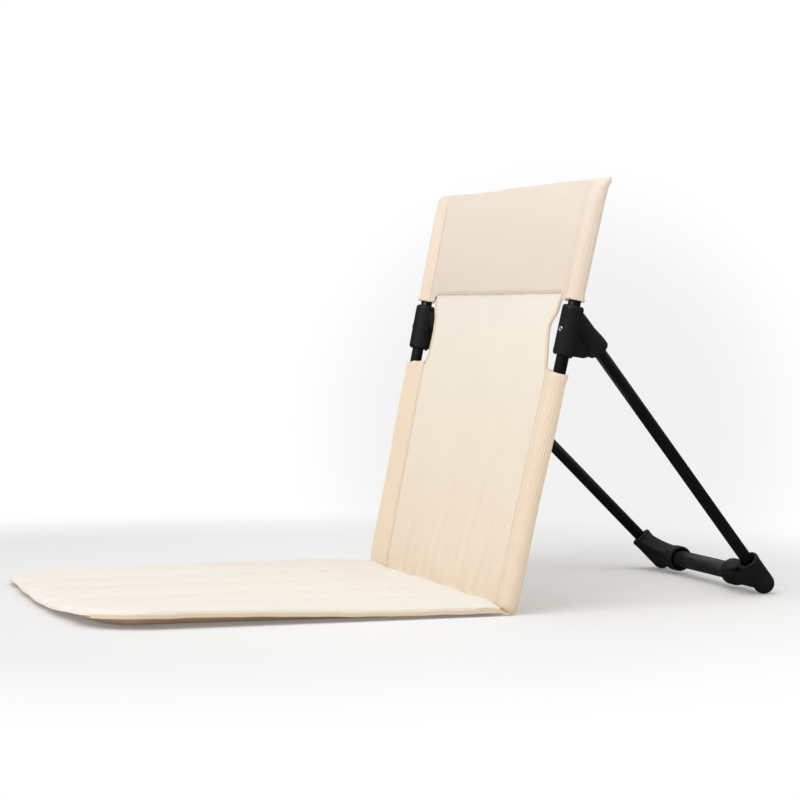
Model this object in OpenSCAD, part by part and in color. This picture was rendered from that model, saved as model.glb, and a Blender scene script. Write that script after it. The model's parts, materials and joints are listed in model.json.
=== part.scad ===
// Folding floor chair: a quilted seat pad that lies on the floor, a cloth back held
// between two leaning poles, and a rear stand of two struts and a crossbar.
// The sitter faces -Y. Left and right are the sitter's own. All lengths are millimetres.

/* [Seat] */
// Width of the seat pad over its edge band
seat_w = 466; // [440:1:500]
// Length of the seat pad from the fold line to the middle of its front edge
seat_len = 425; // [380:1:480]
// How far the front edge bows out in the middle
front_bow = 12; // [4:1:20]
// Radius of the two front corners
corner_r = 70; // [45:1:90]
// Height of the pad along the top of a channel
pad_h = 14; // [12:0.5:18]
// Height of the pad along a sewn seam
seam_h = 9.5; // [9:0.1:10.5]
// Height of the pad's underside along its drawn-in edge
edge_lift = 3.4; // [2.5:0.1:4]
// Height of the edge band
band_h = 4; // [3:0.1:4.5]
// Thickness of the edge band
band_t = 1.6; // [1:0.1:2.5]
// Width of the zone in which the pad's edge draws in
edge_w = 20; // [14:1:28]
// Thickness of the cloth
cloth_t = 1; // [0.8:0.1:1.3]

/* [Back] */
// Height of the cloth's top edge, measured up along the back
back_h = 438; // [420:1:450]
// Angle at which the back leans from upright
back_lean = 12; // [8:0.5:18]
// Height of the line under the doubled top band
hem_h = 321; // [318:1:330]
// Height of the lower edge of the upper pockets
pocket_h = 313; // [311:1:316]
// Height of the mouth of the lower sleeves
sleeve_h = 241; // [230:1:250]
// Radius of the sleeves round the poles
sleeve_r = 10; // [9:0.1:11]
// Room between the sleeves and the seat's fold line, so that the pad folds up against the back
fold_room = 6.6; // [6:0.1:9]
// Distance from a pole's axis to the seam of its sleeve
seam_off = 36; // [30:1:42]
// Distance from the foot of a pole's axis in to the cloth's edge beside the hub
notch_in = 34.2; // [31:0.1:43]
// How far the cloth sags behind the poles
sag = 5; // [0:0.5:8]
// Depth of the pleats that rise from the crease
pleat_d = 3; // [0:0.5:4]
// Width of the binding round the notches
binding_w = 2.6; // [2:0.1:3.5]

/* [Poles] */
// Outer diameter of the poles and struts
pole_d = 13; // [12:0.1:14]
// Wall of the poles and struts
pole_wall = 1.2; // [0.8:0.1:1.6]
// Length of each pole
pole_len = 432; // [425:1:440]
// Height of each pole's lower end above the floor
pole_rise = 9.2; // [8.5:0.1:12]
// Half of the spacing of the poles at their lower ends
base_half = 223.2; // [215:0.1:232]
// Outward splay of each pole
splay = 2.44; // [1:0.01:4]

/* [Pole hubs] */
// Height of the middle of the hub, measured up along the pole
hub_mid = 282.7; // [278:0.1:284]
// Length of the sleeve round the pole
hub_len = 51.6; // [46:0.1:54]
// Outer diameter of the sleeve round the pole
hub_d = 22; // [20:0.1:24]
// Where the strut's axis meets the pole's axis, measured up along the pole
meet_h = 300; // [296:0.5:302]
// Outer diameter of the angled socket at its root
root_d = 20; // [18:0.1:22]
// Outer diameter of the angled socket at its mouth
mouth_d = 23.6; // [21:0.1:26]
// Distance of the socket's mouth from the pole's axis, along the strut
mouth_reach = 55; // [50:0.5:60]
// Length of the widened mouth
mouth_len = 14; // [8:0.5:18]
// Distance of the socket's floor from the pole's axis, along the strut
socket_floor = 16; // [15:0.5:20]
// Thickness of the web between sleeve and socket
hub_web_t = 4; // [3:0.1:6]
// Outer diameter of the eyelet's head
eyelet_d = 5; // [4.5:0.1:6]
// Diameter of the eyelet's hole
eyelet_hole = 2.2; // [1.5:0.1:2.4]
// Diameter of the eyelet's shank
eyelet_shank = 3.4; // [3:0.1:3.8]
// Thickness of the eyelet's head
eyelet_head = 0.8; // [0.5:0.1:1.2]
// Diameter of the eyelet's clinched end inside the pole
eyelet_clinch = 4.4; // [4:0.1:5]

/* [Rear stand] */
// Slope of the struts below level, seen from the side
strut_drop = 47.9; // [45:0.1:50]
// Angle by which each strut leans inwards
strut_toe = 14.4; // [12:0.1:16]
// Outer diameter of the crossbar
bar_d = 19; // [17:0.1:21]
// Wall of the crossbar
bar_wall = 1.5; // [1:0.1:2]
// Outer diameter of the foot cup
cup_d = 23; // [21:0.1:25]
// Length of the cup above the middle of its dome
cup_len = 38; // [34:0.5:44]
// Depth of the strut's seat in the cup
cup_depth = 22; // [16:0.5:24]
// Diameter of the cup's widened mouth
cup_mouth_d = 15.6; // [15.2:0.1:16.5]
// Depth of the cup's widened mouth
cup_mouth_len = 9; // [4:0.5:11]
// Height of the crossbar's axis above the dome's middle, along the strut
bar_up = 9; // [8:0.1:10]
// Outer diameter of the crossbar's socket
bar_socket_d = 24.6; // [23:0.1:26]
// Outer diameter of the collar at the socket's mouth
collar_d = 29; // [27:0.1:31]
// Length of the collar
collar_len = 19; // [12:0.5:24]
// Distance of the socket's mouth from the strut's axis
bar_socket_len = 70; // [64:0.5:78]
// Length of the crossbar held in each socket
bar_hold = 40; // [34:0.5:44]
// Thickness of the web between cup and socket
foot_web_t = 7; // [5:0.5:9]
// Width of the flange along the top of that web
flange_w = 15; // [12:0.5:18]
// Thickness of that flange
flange_t = 2.6; // [2:0.1:3.5]

/* [Elastic cord] */
// Diameter of the cord in the stand
cord_d = 3; // [2.5:0.1:3.2]
// Diameter of the cord's knots
knot_d = 6; // [5:0.1:6.4]
// Length of the tube-end inserts
insert_len = 12; // [11:0.5:16]
// Thickness of an insert's rim
insert_rim = 2; // [1.5:0.1:2.5]

/* [Fits] */
// Radial clearance between a tube and its socket
fit_gap = 0.05; // [0.03:0.01:0.09]
// Clearance between pieces that lie against each other
lay_gap = 0.06; // [0.04:0.01:0.1]
// Clearance round soft pieces that move
soft_gap = 0.4; // [0.3:0.05:0.6]
// Clearance round the cord in its holes
cord_gap = 0.5; // [0.4:0.05:0.6]

/* [Hidden] */

$fn = 48;

// Overrun of every cut past the face it opens
over = pole_d / 13;
// Channels across the seat, rows of the pad's grid, and columns and rows of the back panel's grid
channels = 5;
pad_rows = 13;
panel_cols = 30;
panel_rows = 14;
// Places across a channel, closest beside its seams, as shares of the channel
channel_shares = [0, 0.09, 0.25, 0.5, 0.75, 0.91];
// Places along the pad, closest at its ends, as shares of its length
row_shares = [for (i = [0 : pad_rows - 1]) (1 - cos(180 * i / (pad_rows - 1))) / 2];
// How sharply the pleats fade, as a share of the panel's height
pleat_reach_share = 0.2;
// Width of a pleat as a share of a channel
pleat_width_share = 0.09;
// Steps of the arc of a sleeve round its pole
arc_steps = 28;

seat_half = seat_w / 2;
channel_w = 2 * (seat_half - band_t - lay_gap) / channels;
seam_places = [for (i = [1 : channels - 1]) (i - channels / 2) * channel_w];
edge_top = edge_lift + band_h;

// The fold line of the seat lies in front of the sleeves
fold_y = -(sleeve_r + fold_room);
fold_z = edge_top;

// Directions of the left pole and the left strut
pole_dir = [sin(splay), cos(splay) * sin(back_lean), cos(splay) * cos(back_lean)];
strut_dir = [-sin(strut_toe), cos(strut_toe) * cos(strut_drop), -cos(strut_toe) * sin(strut_drop)];
pole_foot = [base_half, 0, pole_rise];
meet = pole_foot + meet_h * pole_dir;
// The dome stands a hair wider than its cup
dome_d = cup_d + 2 * fit_gap;
// Distance along the strut from the pole's axis to the middle of the foot's dome
strut_reach = (meet[2] - dome_d / 2) / -strut_dir[2];
foot = meet + strut_reach * strut_dir;
bar_point = foot - bar_up * strut_dir;
// The origin lies under the middle of the whole chair
crease_y = (seat_len - fold_y - foot[1] - dome_d / 2) / 2;

// Ends of the strut's tube, along the strut
strut_top = socket_floor + soft_gap;
cup_floor = strut_reach - cup_len + cup_depth;
strut_end = cup_floor - soft_gap;
// Half of the crossbar's length over its inserts
bar_half = bar_point[0] - bar_socket_len + bar_hold;
// Depth of the crossbar's bore in the foot hub, up to the wall beside the strut's seat
bar_bore_end = pole_d / 2 + root_d / 8;

// Half of the cloth's width between the two hub notches
notch_half = base_half - notch_in;

// Height of the back panel's lower edge, along the back
panel_low = -(pole_rise - cloth_t * 2) / cos(back_lean);

// Height of the cut at the bottom of the sleeves, along the pole
sleeve_low = -(pole_rise - sleeve_r * sin(back_lean)) / (cos(back_lean) * cos(splay));

// Half width of the cloth between its side seams, at a height along the back
function seam_half(h) = base_half + h * tan(splay) - seam_off - lay_gap;

// Front edge of the pad at x, on an outline drawn in by inset
function front_y(x, inset) =
    let (half = seat_half - inset,
         r = corner_r - inset,
         d = max(0, abs(x) - (half - r)),
         bow = front_bow * pow(min(1, abs(x) / (seat_half - corner_r)), 2))
    fold_y - (seat_len - inset - bow - r + sqrt(max(0, r * r - d * d)));

// Places across the pad, on an outline drawn in by inset
function pad_xs(inset) =
    let (half = seat_half - inset,
         k = half / (seat_half - band_t - lay_gap))
    concat(
        [for (c = [0 : channels - 1]) for (s = channel_shares) k * channel_w * (c + s - channels / 2)],
        [half]
    );

// Outline of the pad, drawn in by inset
function pad_outline(inset) =
    let (xs = pad_xs(inset),
         n = len(xs))
    concat(
        [for (i = [0 : n - 1]) [xs[i], front_y(xs[i], inset)]],
        [[xs[n - 1], fold_y], [xs[0], fold_y]]
    );

// How far a point lies from the nearest seam, as a half sine across its channel
function puff(x) = let (c = x / channel_w + channels / 2) sqrt(abs(sin(180 * c)));

// Falls from 1 to 0 over the edge zone, as a quarter circle
function edge_round(d) = let (q = min(1, max(0, d / edge_w))) sqrt(1 - (1 - q) * (1 - q));

// Upper and lower surface of the pad at a point that lies d from its edge
function pad_top(x, d) = edge_top + edge_round(d) * (seam_h - edge_top + (pad_h - seam_h) * puff(x));
function pad_bottom(d) = cloth_t + lay_gap + (1 - edge_round(d)) * (edge_lift - cloth_t - lay_gap);

function pad_edge_distance(x, y, front) = min(seat_half - band_t - abs(x), y - front, fold_y - y);

// One closed form: crowned channels above, drawn-in edges, flat below
module pad_form() {
    inset = band_t + lay_gap;
    xs = pad_xs(inset);
    n = len(xs);
    m = pad_rows;
    top = [for (i = [0 : n - 1]) for (j = [0 : m - 1])
        let (f = front_y(xs[i], inset), y = fold_y + (f - fold_y) * row_shares[j])
        [xs[i], y, pad_top(xs[i], pad_edge_distance(xs[i], y, f))]];
    low = [for (p = top) [p[0], p[1], pad_bottom(pad_edge_distance(p[0], p[1], front_y(p[0], inset)))]];
    k = n * m;
    upper = [for (i = [0 : n - 2]) for (j = [0 : m - 2]) let (a = i * m + j)
        each [[a, a + 1, a + m + 1], [a, a + m + 1, a + m]]];
    lower = [for (f = upper) [f[0] + k, f[2] + k, f[1] + k]];
    rim = concat(
        [for (i = [0 : n - 2]) i * m],
        [for (j = [0 : m - 2]) (n - 1) * m + j],
        [for (i = [n - 1 : -1 : 1]) i * m + m - 1],
        [for (j = [m - 1 : -1 : 1]) j]
    );
    c = len(rim);
    side = [for (q = [0 : c - 1]) let (a = rim[q], b = rim[(q + 1) % c])
        each [[a, b, b + k], [a, b + k, a + k]]];
    polyhedron(points = concat(top, low), faces = concat(upper, lower, side), convexity = 6);
}

// Cross-section of one foam strip, thick in the middle and thin at the seams
module foam_section(gap) {
    w = channel_w / 2 - edge_w * 0.35 + gap;
    z0 = 2 * cloth_t + lay_gap - gap;
    z1 = seam_h - 2 * cloth_t;
    z2 = pad_h - 1.8 * cloth_t + gap;
    polygon([
        [-w, z0], [w, z0], [w, z1 * 0.6 + z0 * 0.4],
        [w * 0.8, z1], [w * 0.45, z2], [-w * 0.45, z2],
        [-w * 0.8, z1], [-w, z1 * 0.6 + z0 * 0.4]
    ]);
}

// One foam strip lying along its channel; the outer two follow the corners
module foam_strip(i, gap) {
    x = (i - (channels + 1) / 2) * channel_w;
    intersection() {
        translate([x, fold_y - edge_w * 0.6 + gap, 0])
            rotate([90, 0, 0])
                linear_extrude(height = seat_len - edge_w * 1.2 + 2 * gap)
                    foam_section(gap);
        linear_extrude(height = pad_h)
            polygon(pad_outline(edge_w * 0.65 - gap));
    }
}

module at_crease() {
    translate([0, crease_y, 0])
        children();
}

// The plane of the two poles: X across, Z up along the back, -Y towards the sitter
module on_back() {
    translate([0, crease_y, pole_rise])
        rotate([-back_lean, 0, 0])
            children();
}

// The left pole's own axis as Z, and its mirror image for the right one
module on_pole(side) {
    mirror([side > 0 ? 0 : 1, 0, 0])
        on_back()
            translate([base_half, 0, 0])
                rotate([0, splay, 0])
                    children();
}

// The left strut's axis as Z, from the pole's axis down to the foot, and its mirror image
module on_strut(side) {
    mirror([side > 0 ? 0 : 1, 0, 0])
        at_crease()
            translate(meet)
                rotate([-90 - strut_drop, 0, 0])
                    rotate([0, -strut_toe, 0])
                        children();
}

// Axis of the crossbar's socket as Z, from the strut's axis towards the middle
module on_bar(side) {
    mirror([side > 0 ? 0 : 1, 0, 0])
        at_crease()
            translate(bar_point)
                rotate([0, -90, 0])
                    children();
}

// A plane spanned by a Z direction and a second direction, for the webs
module in_plane(at, up, along) {
    e0 = along - (along * up) * up;
    e = e0 / norm(e0);
    n = cross(up, e);
    multmatrix([
        [e[0], n[0], up[0], at[0]],
        [e[1], n[1], up[1], at[1]],
        [e[2], n[2], up[2], at[2]],
        [0, 0, 0, 1]
    ])
        rotate([90, 0, 0])
            children();
}

module tube(d, wall, len) {
    difference() {
        cylinder(d = d, h = len);
        translate([0, 0, -over])
            cylinder(d = d - 2 * wall, h = len + 2 * over);
    }
}

// A round bar whose two rims are rounded
module rounded_bar(d, len, rim) {
    rotate_extrude()
        intersection() {
            union() {
                square([d / 2 - rim, len]);
                translate([0, rim])
                    square([d / 2, len - 2 * rim]);
                translate([d / 2 - rim, rim])
                    circle(r = rim);
                translate([d / 2 - rim, len - rim])
                    circle(r = rim);
            }
            square([d, len]);
        }
}

// A stepped, turned outline: each ring is [diameter, place along the axis]
module turned(rings) {
    n = len(rings);
    rotate_extrude()
        polygon(concat(
            [[0, rings[0][1]]],
            [for (r = rings) [r[0] / 2, r[1]]],
            [[0, rings[n - 1][1]]]
        ));
}

// A drop-shaped outline: an arc round the pole, drawn out to a seam that is 2 * tip thick
module drop(r, reach, tip) {
    bend = 180 - acos(r / reach);
    polygon(concat(
        [for (i = [0 : arc_steps]) let (t = bend * (1 - 2 * i / arc_steps)) r * [cos(t), sin(t)]],
        [[-reach, -tip], [-reach, tip]]
    ));
}

module sleeve_outside() {
    drop(sleeve_r, seam_off, cloth_t);
}

module sleeve_hollow() {
    drop(sleeve_r - cloth_t, seam_off - cloth_t * seam_off / sleeve_r - cloth_t, cloth_t / 8);
}

module seat_cover() {
    color("wheat")
        at_crease()
            difference() {
                pad_form();
                for (i = [1 : channels])
                    foam_strip(i, lay_gap);
            }
}

module seat_base_cloth() {
    color("antiquewhite")
        at_crease()
            linear_extrude(height = cloth_t)
                difference() {
                    polygon(pad_outline(edge_w));
                    translate([-seat_half, fold_y - edge_w])
                        square([seat_w, seat_len]);
                }
}

module seat_edge_band() {
    color("tan")
        at_crease()
            translate([0, 0, edge_lift])
                linear_extrude(height = band_h)
                    difference() {
                        polygon(pad_outline(0));
                        polygon(pad_outline(band_t));
                        translate([-seat_half, fold_y - lay_gap])
                            square([seat_w, seat_len]);
                    }
}

module seat_foam(i) {
    color("lightyellow")
        at_crease()
            foam_strip(i, 0);
}

// The strip that closes the fold between seat and back
module crease_tape() {
    half = seam_half(0) - cloth_t;
    rear = panel_low * sin(back_lean) - cloth_t / 2 - lay_gap;
    color("tan")
        at_crease()
            translate([-half, 0, 0])
                rotate([90, 0, 90])
                    linear_extrude(height = 2 * half)
                        polygon([
                            [fold_y + soft_gap, cloth_t / 2],
                            [rear, 0],
                            [rear, cloth_t * 2],
                            [fold_y + soft_gap, edge_top - cloth_t]
                        ]);
}

// How far the back panel lies behind the poles' plane: a shallow sag, and pleats at the crease
function pleats(x, h) =
    let (w = pleat_width_share * channel_w)
    pleat_d * exp(-h / (pleat_reach_share * hem_h))
        * ([for (s = seam_places) exp(-pow((x - s) / w, 2))] * [for (s = seam_places) 1]);
function panel_y(x, h) =
    let (u = x / seam_half(h), v = min(1, max(0, h / hem_h)))
    sag * (1 - u * u) * sin(180 * v) + (1 - pow(u, 6)) * pleats(x, h) * min(1, v * panel_rows);

module panel_form() {
    m = panel_rows;
    n = panel_cols;
    hs = [for (j = [0 : m]) panel_low + (hem_h - lay_gap - panel_low) * pow(j / m, 1.3)];
    pts = [for (f = [-0.5, 0.5]) for (j = [0 : m]) for (i = [0 : n])
        let (x = seam_half(hs[j]) * (2 * i / n - 1))
        [x, panel_y(x, hs[j]) + f * cloth_t, hs[j]]];
    w = n + 1;
    k = w * (m + 1);
    front = [for (j = [0 : m - 1]) for (i = [0 : n - 1]) let (a = j * w + i)
        each [[a, a + w, a + w + 1], [a, a + w + 1, a + 1]]];
    rear = [for (f = front) [f[0] + k, f[2] + k, f[1] + k]];
    rim = concat(
        [for (i = [0 : n - 1]) i],
        [for (j = [0 : m - 1]) j * w + n],
        [for (i = [n : -1 : 1]) m * w + i],
        [for (j = [m : -1 : 1]) j * w]
    );
    c = len(rim);
    side = [for (q = [0 : c - 1]) let (a = rim[q], b = rim[(q + 1) % c])
        each [[a, b, b + k], [a, b + k, a + k]]];
    polyhedron(points = pts, faces = concat(front, rear, side), convexity = 6);
}

module back_panel() {
    color("wheat")
        on_back()
            difference() {
                panel_form();
                for (side = [-1, 1])
                    translate([side * (notch_half + seam_off) - seam_off, -sag * 3, sleeve_h])
                        cube([2 * seam_off, sag * 6, pocket_h - sleeve_h]);
            }
}

// The doubled cloth along the top edge, between the two pockets
module top_band() {
    color("burlywood")
        on_back()
            translate([0, cloth_t, 0])
                rotate([90, 0, 0])
                    linear_extrude(height = 2 * cloth_t)
                        polygon([
                            [-seam_half(hem_h), hem_h], [seam_half(hem_h), hem_h],
                            [seam_half(back_h), back_h], [-seam_half(back_h), back_h]
                        ]);
}

module lower_sleeve(side) {
    color("burlywood")
        on_pole(side)
            difference() {
                translate([0, 0, sleeve_low])
                    linear_extrude(height = sleeve_h - sleeve_low)
                        sleeve_outside();
                translate([0, 0, sleeve_low + cloth_t])
                    linear_extrude(height = sleeve_h - sleeve_low + over)
                        sleeve_hollow();
            }
}

module upper_pocket(side) {
    color("burlywood")
        intersection() {
            on_pole(side)
                difference() {
                    translate([0, 0, pocket_h - seam_off])
                        linear_extrude(height = back_h - pocket_h + 2 * seam_off)
                            sleeve_outside();
                    translate([0, 0, pocket_h - seam_off - over])
                        linear_extrude(height = pole_len + insert_rim + soft_gap - pocket_h + seam_off + over)
                            sleeve_hollow();
                }
            on_back()
                translate([-seat_w, -seat_w / 2, pocket_h])
                    cube([2 * seat_w, seat_w, back_h - pocket_h - cloth_t]);
        }
}

// The bound edge of the cloth beside each hub
module notch_binding(side) {
    color("tan")
        mirror([side > 0 ? 0 : 1, 0, 0])
            on_back()
                translate([notch_half + lay_gap, -1.5 * cloth_t, sleeve_h + lay_gap])
                    cube([binding_w, 3 * cloth_t, pocket_h - sleeve_h - 2 * lay_gap]);
}

// A hole from the pole's axis forwards, for the eyelet
module eyelet_bore(d) {
    translate([0, 0, hub_mid])
        rotate([90, 0, 0])
            cylinder(d = d, h = hub_d);
}

module pole(side) {
    color("dimgray")
        on_pole(side)
            difference() {
                tube(pole_d, pole_wall, pole_len);
                eyelet_bore(eyelet_shank + 2 * fit_gap);
            }
}

// A plug in a tube's end, with a rim as wide as the tube
module end_plug(d, wall, rim_len) {
    cylinder(d = d - 2 * wall - 2 * lay_gap, h = insert_len);
    translate([0, 0, -rim_len])
        rounded_bar(d, rim_len - lay_gap, rim_len / 4);
    translate([0, 0, -rim_len / 2])
        cylinder(d = d - 2 * wall - 2 * lay_gap, h = rim_len);
}

module pole_top_caps() {
    color("black")
        for (side = [-1, 1])
            on_pole(side)
                translate([0, 0, pole_len])
                    mirror([0, 0, 1])
                        end_plug(pole_d, pole_wall, insert_rim);
}

module pole_foot_caps() {
    color("black")
        for (side = [-1, 1])
            on_pole(side)
                end_plug(pole_d, pole_wall, -sleeve_low - cloth_t - lay_gap);
}

// Sleeve round the pole, angled socket for the strut, and the thin web between them
module pole_hub(side) {
    mouth_start = mouth_reach - mouth_len;
    rim_cut = mouth_d / 20;
    color("black")
        difference() {
            union() {
                on_pole(side)
                    translate([0, 0, hub_mid - hub_len / 2])
                        rounded_bar(hub_d, hub_len, hub_d / 12);
                on_strut(side)
                    turned([
                        [root_d, 0],
                        [root_d, mouth_start - mouth_d / 4],
                        [mouth_d, mouth_start],
                        [mouth_d, mouth_reach - rim_cut],
                        [mouth_d - 2 * rim_cut, mouth_reach]
                    ]);
                hub_web(side);
            }
            on_pole(side)
                cylinder(d = pole_d + 2 * fit_gap, h = pole_len);
            on_strut(side)
                translate([0, 0, socket_floor])
                    cylinder(d = pole_d + 2 * fit_gap, h = mouth_reach);
            on_pole(side)
                eyelet_bore(eyelet_shank + 2 * fit_gap);
        }
}

// The web's points lie in the plane of pole and strut: x away from the pole, y up along it
module hub_web(side) {
    cosine = -(strut_dir * pole_dir);
    sine = sqrt(1 - cosine * cosine);
    low = hub_mid - hub_len / 2 + hub_d / 12 - meet_h;
    reach = mouth_reach - mouth_len / 3;
    mirror([side > 0 ? 0 : 1, 0, 0])
        at_crease()
            in_plane(meet, pole_dir, strut_dir)
                translate([0, 0, -hub_web_t / 2])
                    linear_extrude(height = hub_web_t)
                        polygon([
                            [0, low],
                            [reach * sine - root_d / 2 * cosine, -reach * cosine - root_d / 2 * sine],
                            [reach * sine, -reach * cosine],
                            [0, 0]
                        ]);
}

// Hollow eyelets that pin each hub to the front wall of its pole, clinched inside the pole
module hub_eyelets() {
    bore_r = pole_d / 2 - pole_wall;
    front = hub_d / 2 + lay_gap;
    clinch = sqrt(pow(bore_r, 2) - pow(eyelet_clinch / 2, 2)) - lay_gap;
    color("silver")
        for (side = [-1, 1])
            on_pole(side)
                translate([0, -front - eyelet_head, hub_mid])
                    rotate([-90, 0, 0])
                        difference() {
                            union() {
                                cylinder(d = eyelet_d, h = eyelet_head);
                                cylinder(d = eyelet_shank, h = front + eyelet_head - clinch + eyelet_head);
                                translate([0, 0, front + eyelet_head - clinch])
                                    cylinder(d = eyelet_clinch, h = eyelet_head);
                            }
                            translate([0, 0, -eyelet_head])
                                cylinder(d = eyelet_hole, h = hub_d);
                        }
}

module strut(side) {
    start = strut_top + insert_rim;
    color("dimgray")
        on_strut(side)
            translate([0, 0, start])
                tube(pole_d, pole_wall, strut_end - insert_rim - start);
}

// A plug with a hole for the cord; knot_pocket sinks the knot into its outer face
module cord_insert(d, wall, knot_pocket) {
    difference() {
        end_plug(d, wall, insert_rim);
        translate([0, 0, -insert_len])
            cylinder(d = cord_d + 2 * cord_gap, h = 3 * insert_len);
        if (knot_pocket)
            translate([0, 0, -insert_rim - over])
                cylinder(d = knot_d + 2 * cord_gap, h = over + knot_d + 2 * cord_gap);
    }
}

module strut_inserts(side) {
    color("black")
        on_strut(side) {
            translate([0, 0, strut_top + insert_rim])
                cord_insert(pole_d, pole_wall, true);
            translate([0, 0, strut_end - insert_rim])
                mirror([0, 0, 1])
                    cord_insert(pole_d, pole_wall, false);
        }
}

// The cord runs down the strut, turns in the foot hub and ends in a knot in the crossbar
module elastic_cord(side) {
    bar_knot = bar_socket_len - bar_hold + insert_rim + insert_len + knot_d / 2 + soft_gap;
    strut_knot = strut_top + knot_d / 2 + cord_gap;
    color("ivory") {
        on_strut(side) {
            translate([0, 0, strut_knot])
                sphere(d = knot_d);
            translate([0, 0, strut_knot])
                cylinder(d = cord_d, h = strut_reach - bar_up - strut_knot);
            translate([0, 0, strut_reach - bar_up])
                sphere(d = 1.12 * cord_d);
        }
        on_bar(side) {
            cylinder(d = cord_d, h = bar_knot);
            translate([0, 0, bar_knot])
                sphere(d = knot_d);
        }
    }
}

// Cup with a domed foot for the strut, and a collared socket for the crossbar
module foot_hub(side) {
    rim_cut = cup_d / 18;
    cord_hole = cord_d + 2 * cord_gap;
    color("black")
        difference() {
            union() {
                on_strut(side) {
                    turned([
                        [cup_d - 2 * rim_cut, strut_reach - cup_len],
                        [cup_d, strut_reach - cup_len + rim_cut],
                        [cup_d, strut_reach]
                    ]);
                    translate([0, 0, strut_reach])
                        sphere(d = dome_d);
                }
                on_bar(side)
                    turned([
                        [bar_socket_d, 0],
                        [bar_socket_d, bar_socket_len - collar_len - 2 * rim_cut],
                        [collar_d, bar_socket_len - collar_len],
                        [collar_d, bar_socket_len - rim_cut],
                        [collar_d - 2 * rim_cut, bar_socket_len]
                    ]);
                foot_web(side);
            }
            on_strut(side) {
                translate([0, 0, strut_reach - cup_len - over])
                    cylinder(d = pole_d + 2 * fit_gap, h = cup_depth + over);
                translate([0, 0, strut_reach - cup_len - over])
                    cylinder(d = cup_mouth_d, h = cup_mouth_len + over);
                translate([0, 0, cup_floor - over])
                    cylinder(d = cord_hole, h = cup_len - cup_depth - bar_up + over);
            }
            on_bar(side) {
                translate([0, 0, bar_bore_end])
                    cylinder(d = bar_d + 2 * fit_gap, h = bar_socket_len);
                cylinder(d = cord_hole, h = bar_socket_len / 2);
                sphere(d = 1.2 * cord_hole);
            }
        }
}

// The web's points lie in the plane of strut and crossbar: x inwards, y up along the strut
module foot_web(side) {
    up = -strut_dir;
    cosine = up * [-1, 0, 0];
    sine = sqrt(1 - cosine * cosine);
    rim = cup_len - bar_up - cup_d / 8;
    tip = bar_socket_len - collar_len / 2;
    shoulder = [tip * sine - bar_socket_d / 2 * cosine, tip * cosine + bar_socket_d / 2 * sine];
    crest = [cup_d / 2 - flange_t / 2, rim - flange_t];
    mirror([side > 0 ? 0 : 1, 0, 0])
        at_crease()
            in_plane(bar_point, up, [-1, 0, 0]) {
                translate([0, 0, -foot_web_t / 2])
                    linear_extrude(height = foot_web_t)
                        polygon([[0, 0], [0, rim - flange_t], crest, shoulder, [tip * sine, tip * cosine]]);
                translate([0, 0, -flange_w / 2])
                    linear_extrude(height = flange_w)
                        polygon([crest, crest + [0, flange_t], shoulder + [0, flange_t], shoulder]);
            }
}

module crossbar() {
    len = 2 * (bar_half - insert_rim);
    color("dimgray")
        at_crease()
            translate([-len / 2, bar_point[1], bar_point[2]])
                rotate([0, 90, 0])
                    tube(bar_d, bar_wall, len);
}

module crossbar_inserts() {
    color("black")
        for (side = [-1, 1])
            mirror([side > 0 ? 0 : 1, 0, 0])
                at_crease()
                    translate([bar_half - insert_rim, bar_point[1], bar_point[2]])
                        rotate([0, -90, 0])
                            cord_insert(bar_d, bar_wall, false);
}

seat_cover();
seat_base_cloth();
seat_edge_band();
seat_foam(1);  // seat_foam_1
seat_foam(2);  // seat_foam_2
seat_foam(3);  // seat_foam_3
seat_foam(4);  // seat_foam_4
seat_foam(5);  // seat_foam_5
crease_tape();
back_panel();
top_band();
lower_sleeve(1);  // lower_sleeve_left
lower_sleeve(-1);  // lower_sleeve_right
upper_pocket(1);  // upper_pocket_left
upper_pocket(-1);  // upper_pocket_right
notch_binding(1);  // notch_binding_left
notch_binding(-1);  // notch_binding_right
pole(1);  // pole_left
pole(-1);  // pole_right
pole_top_caps();
pole_foot_caps();
pole_hub(1);  // pole_hub_left
pole_hub(-1);  // pole_hub_right
hub_eyelets();
strut(1);  // strut_left
strut(-1);  // strut_right
strut_inserts(1);  // strut_inserts_left
strut_inserts(-1);  // strut_inserts_right
elastic_cord(1);  // elastic_cord_left
elastic_cord(-1);  // elastic_cord_right
foot_hub(1);  // foot_hub_left
foot_hub(-1);  // foot_hub_right
crossbar();
crossbar_inserts();
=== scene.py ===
"""Looks of a folding floor chair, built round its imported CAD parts.

The cloth pieces (seat pad, back cloth, hood, sleeves, bindings), the foam strips, the tubes,
the eyelets and the moulded hubs are modelled here as fine meshes that stand for the plain CAD
solids. Caps, inserts and cords stay as CAD and only get a finish. Lengths are millimetres
until a mesh is made.
"""

from __future__ import annotations

import json
import logging
import math
from dataclasses import dataclass, field
from enum import Enum, IntEnum
from typing import Iterable, Sequence

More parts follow.
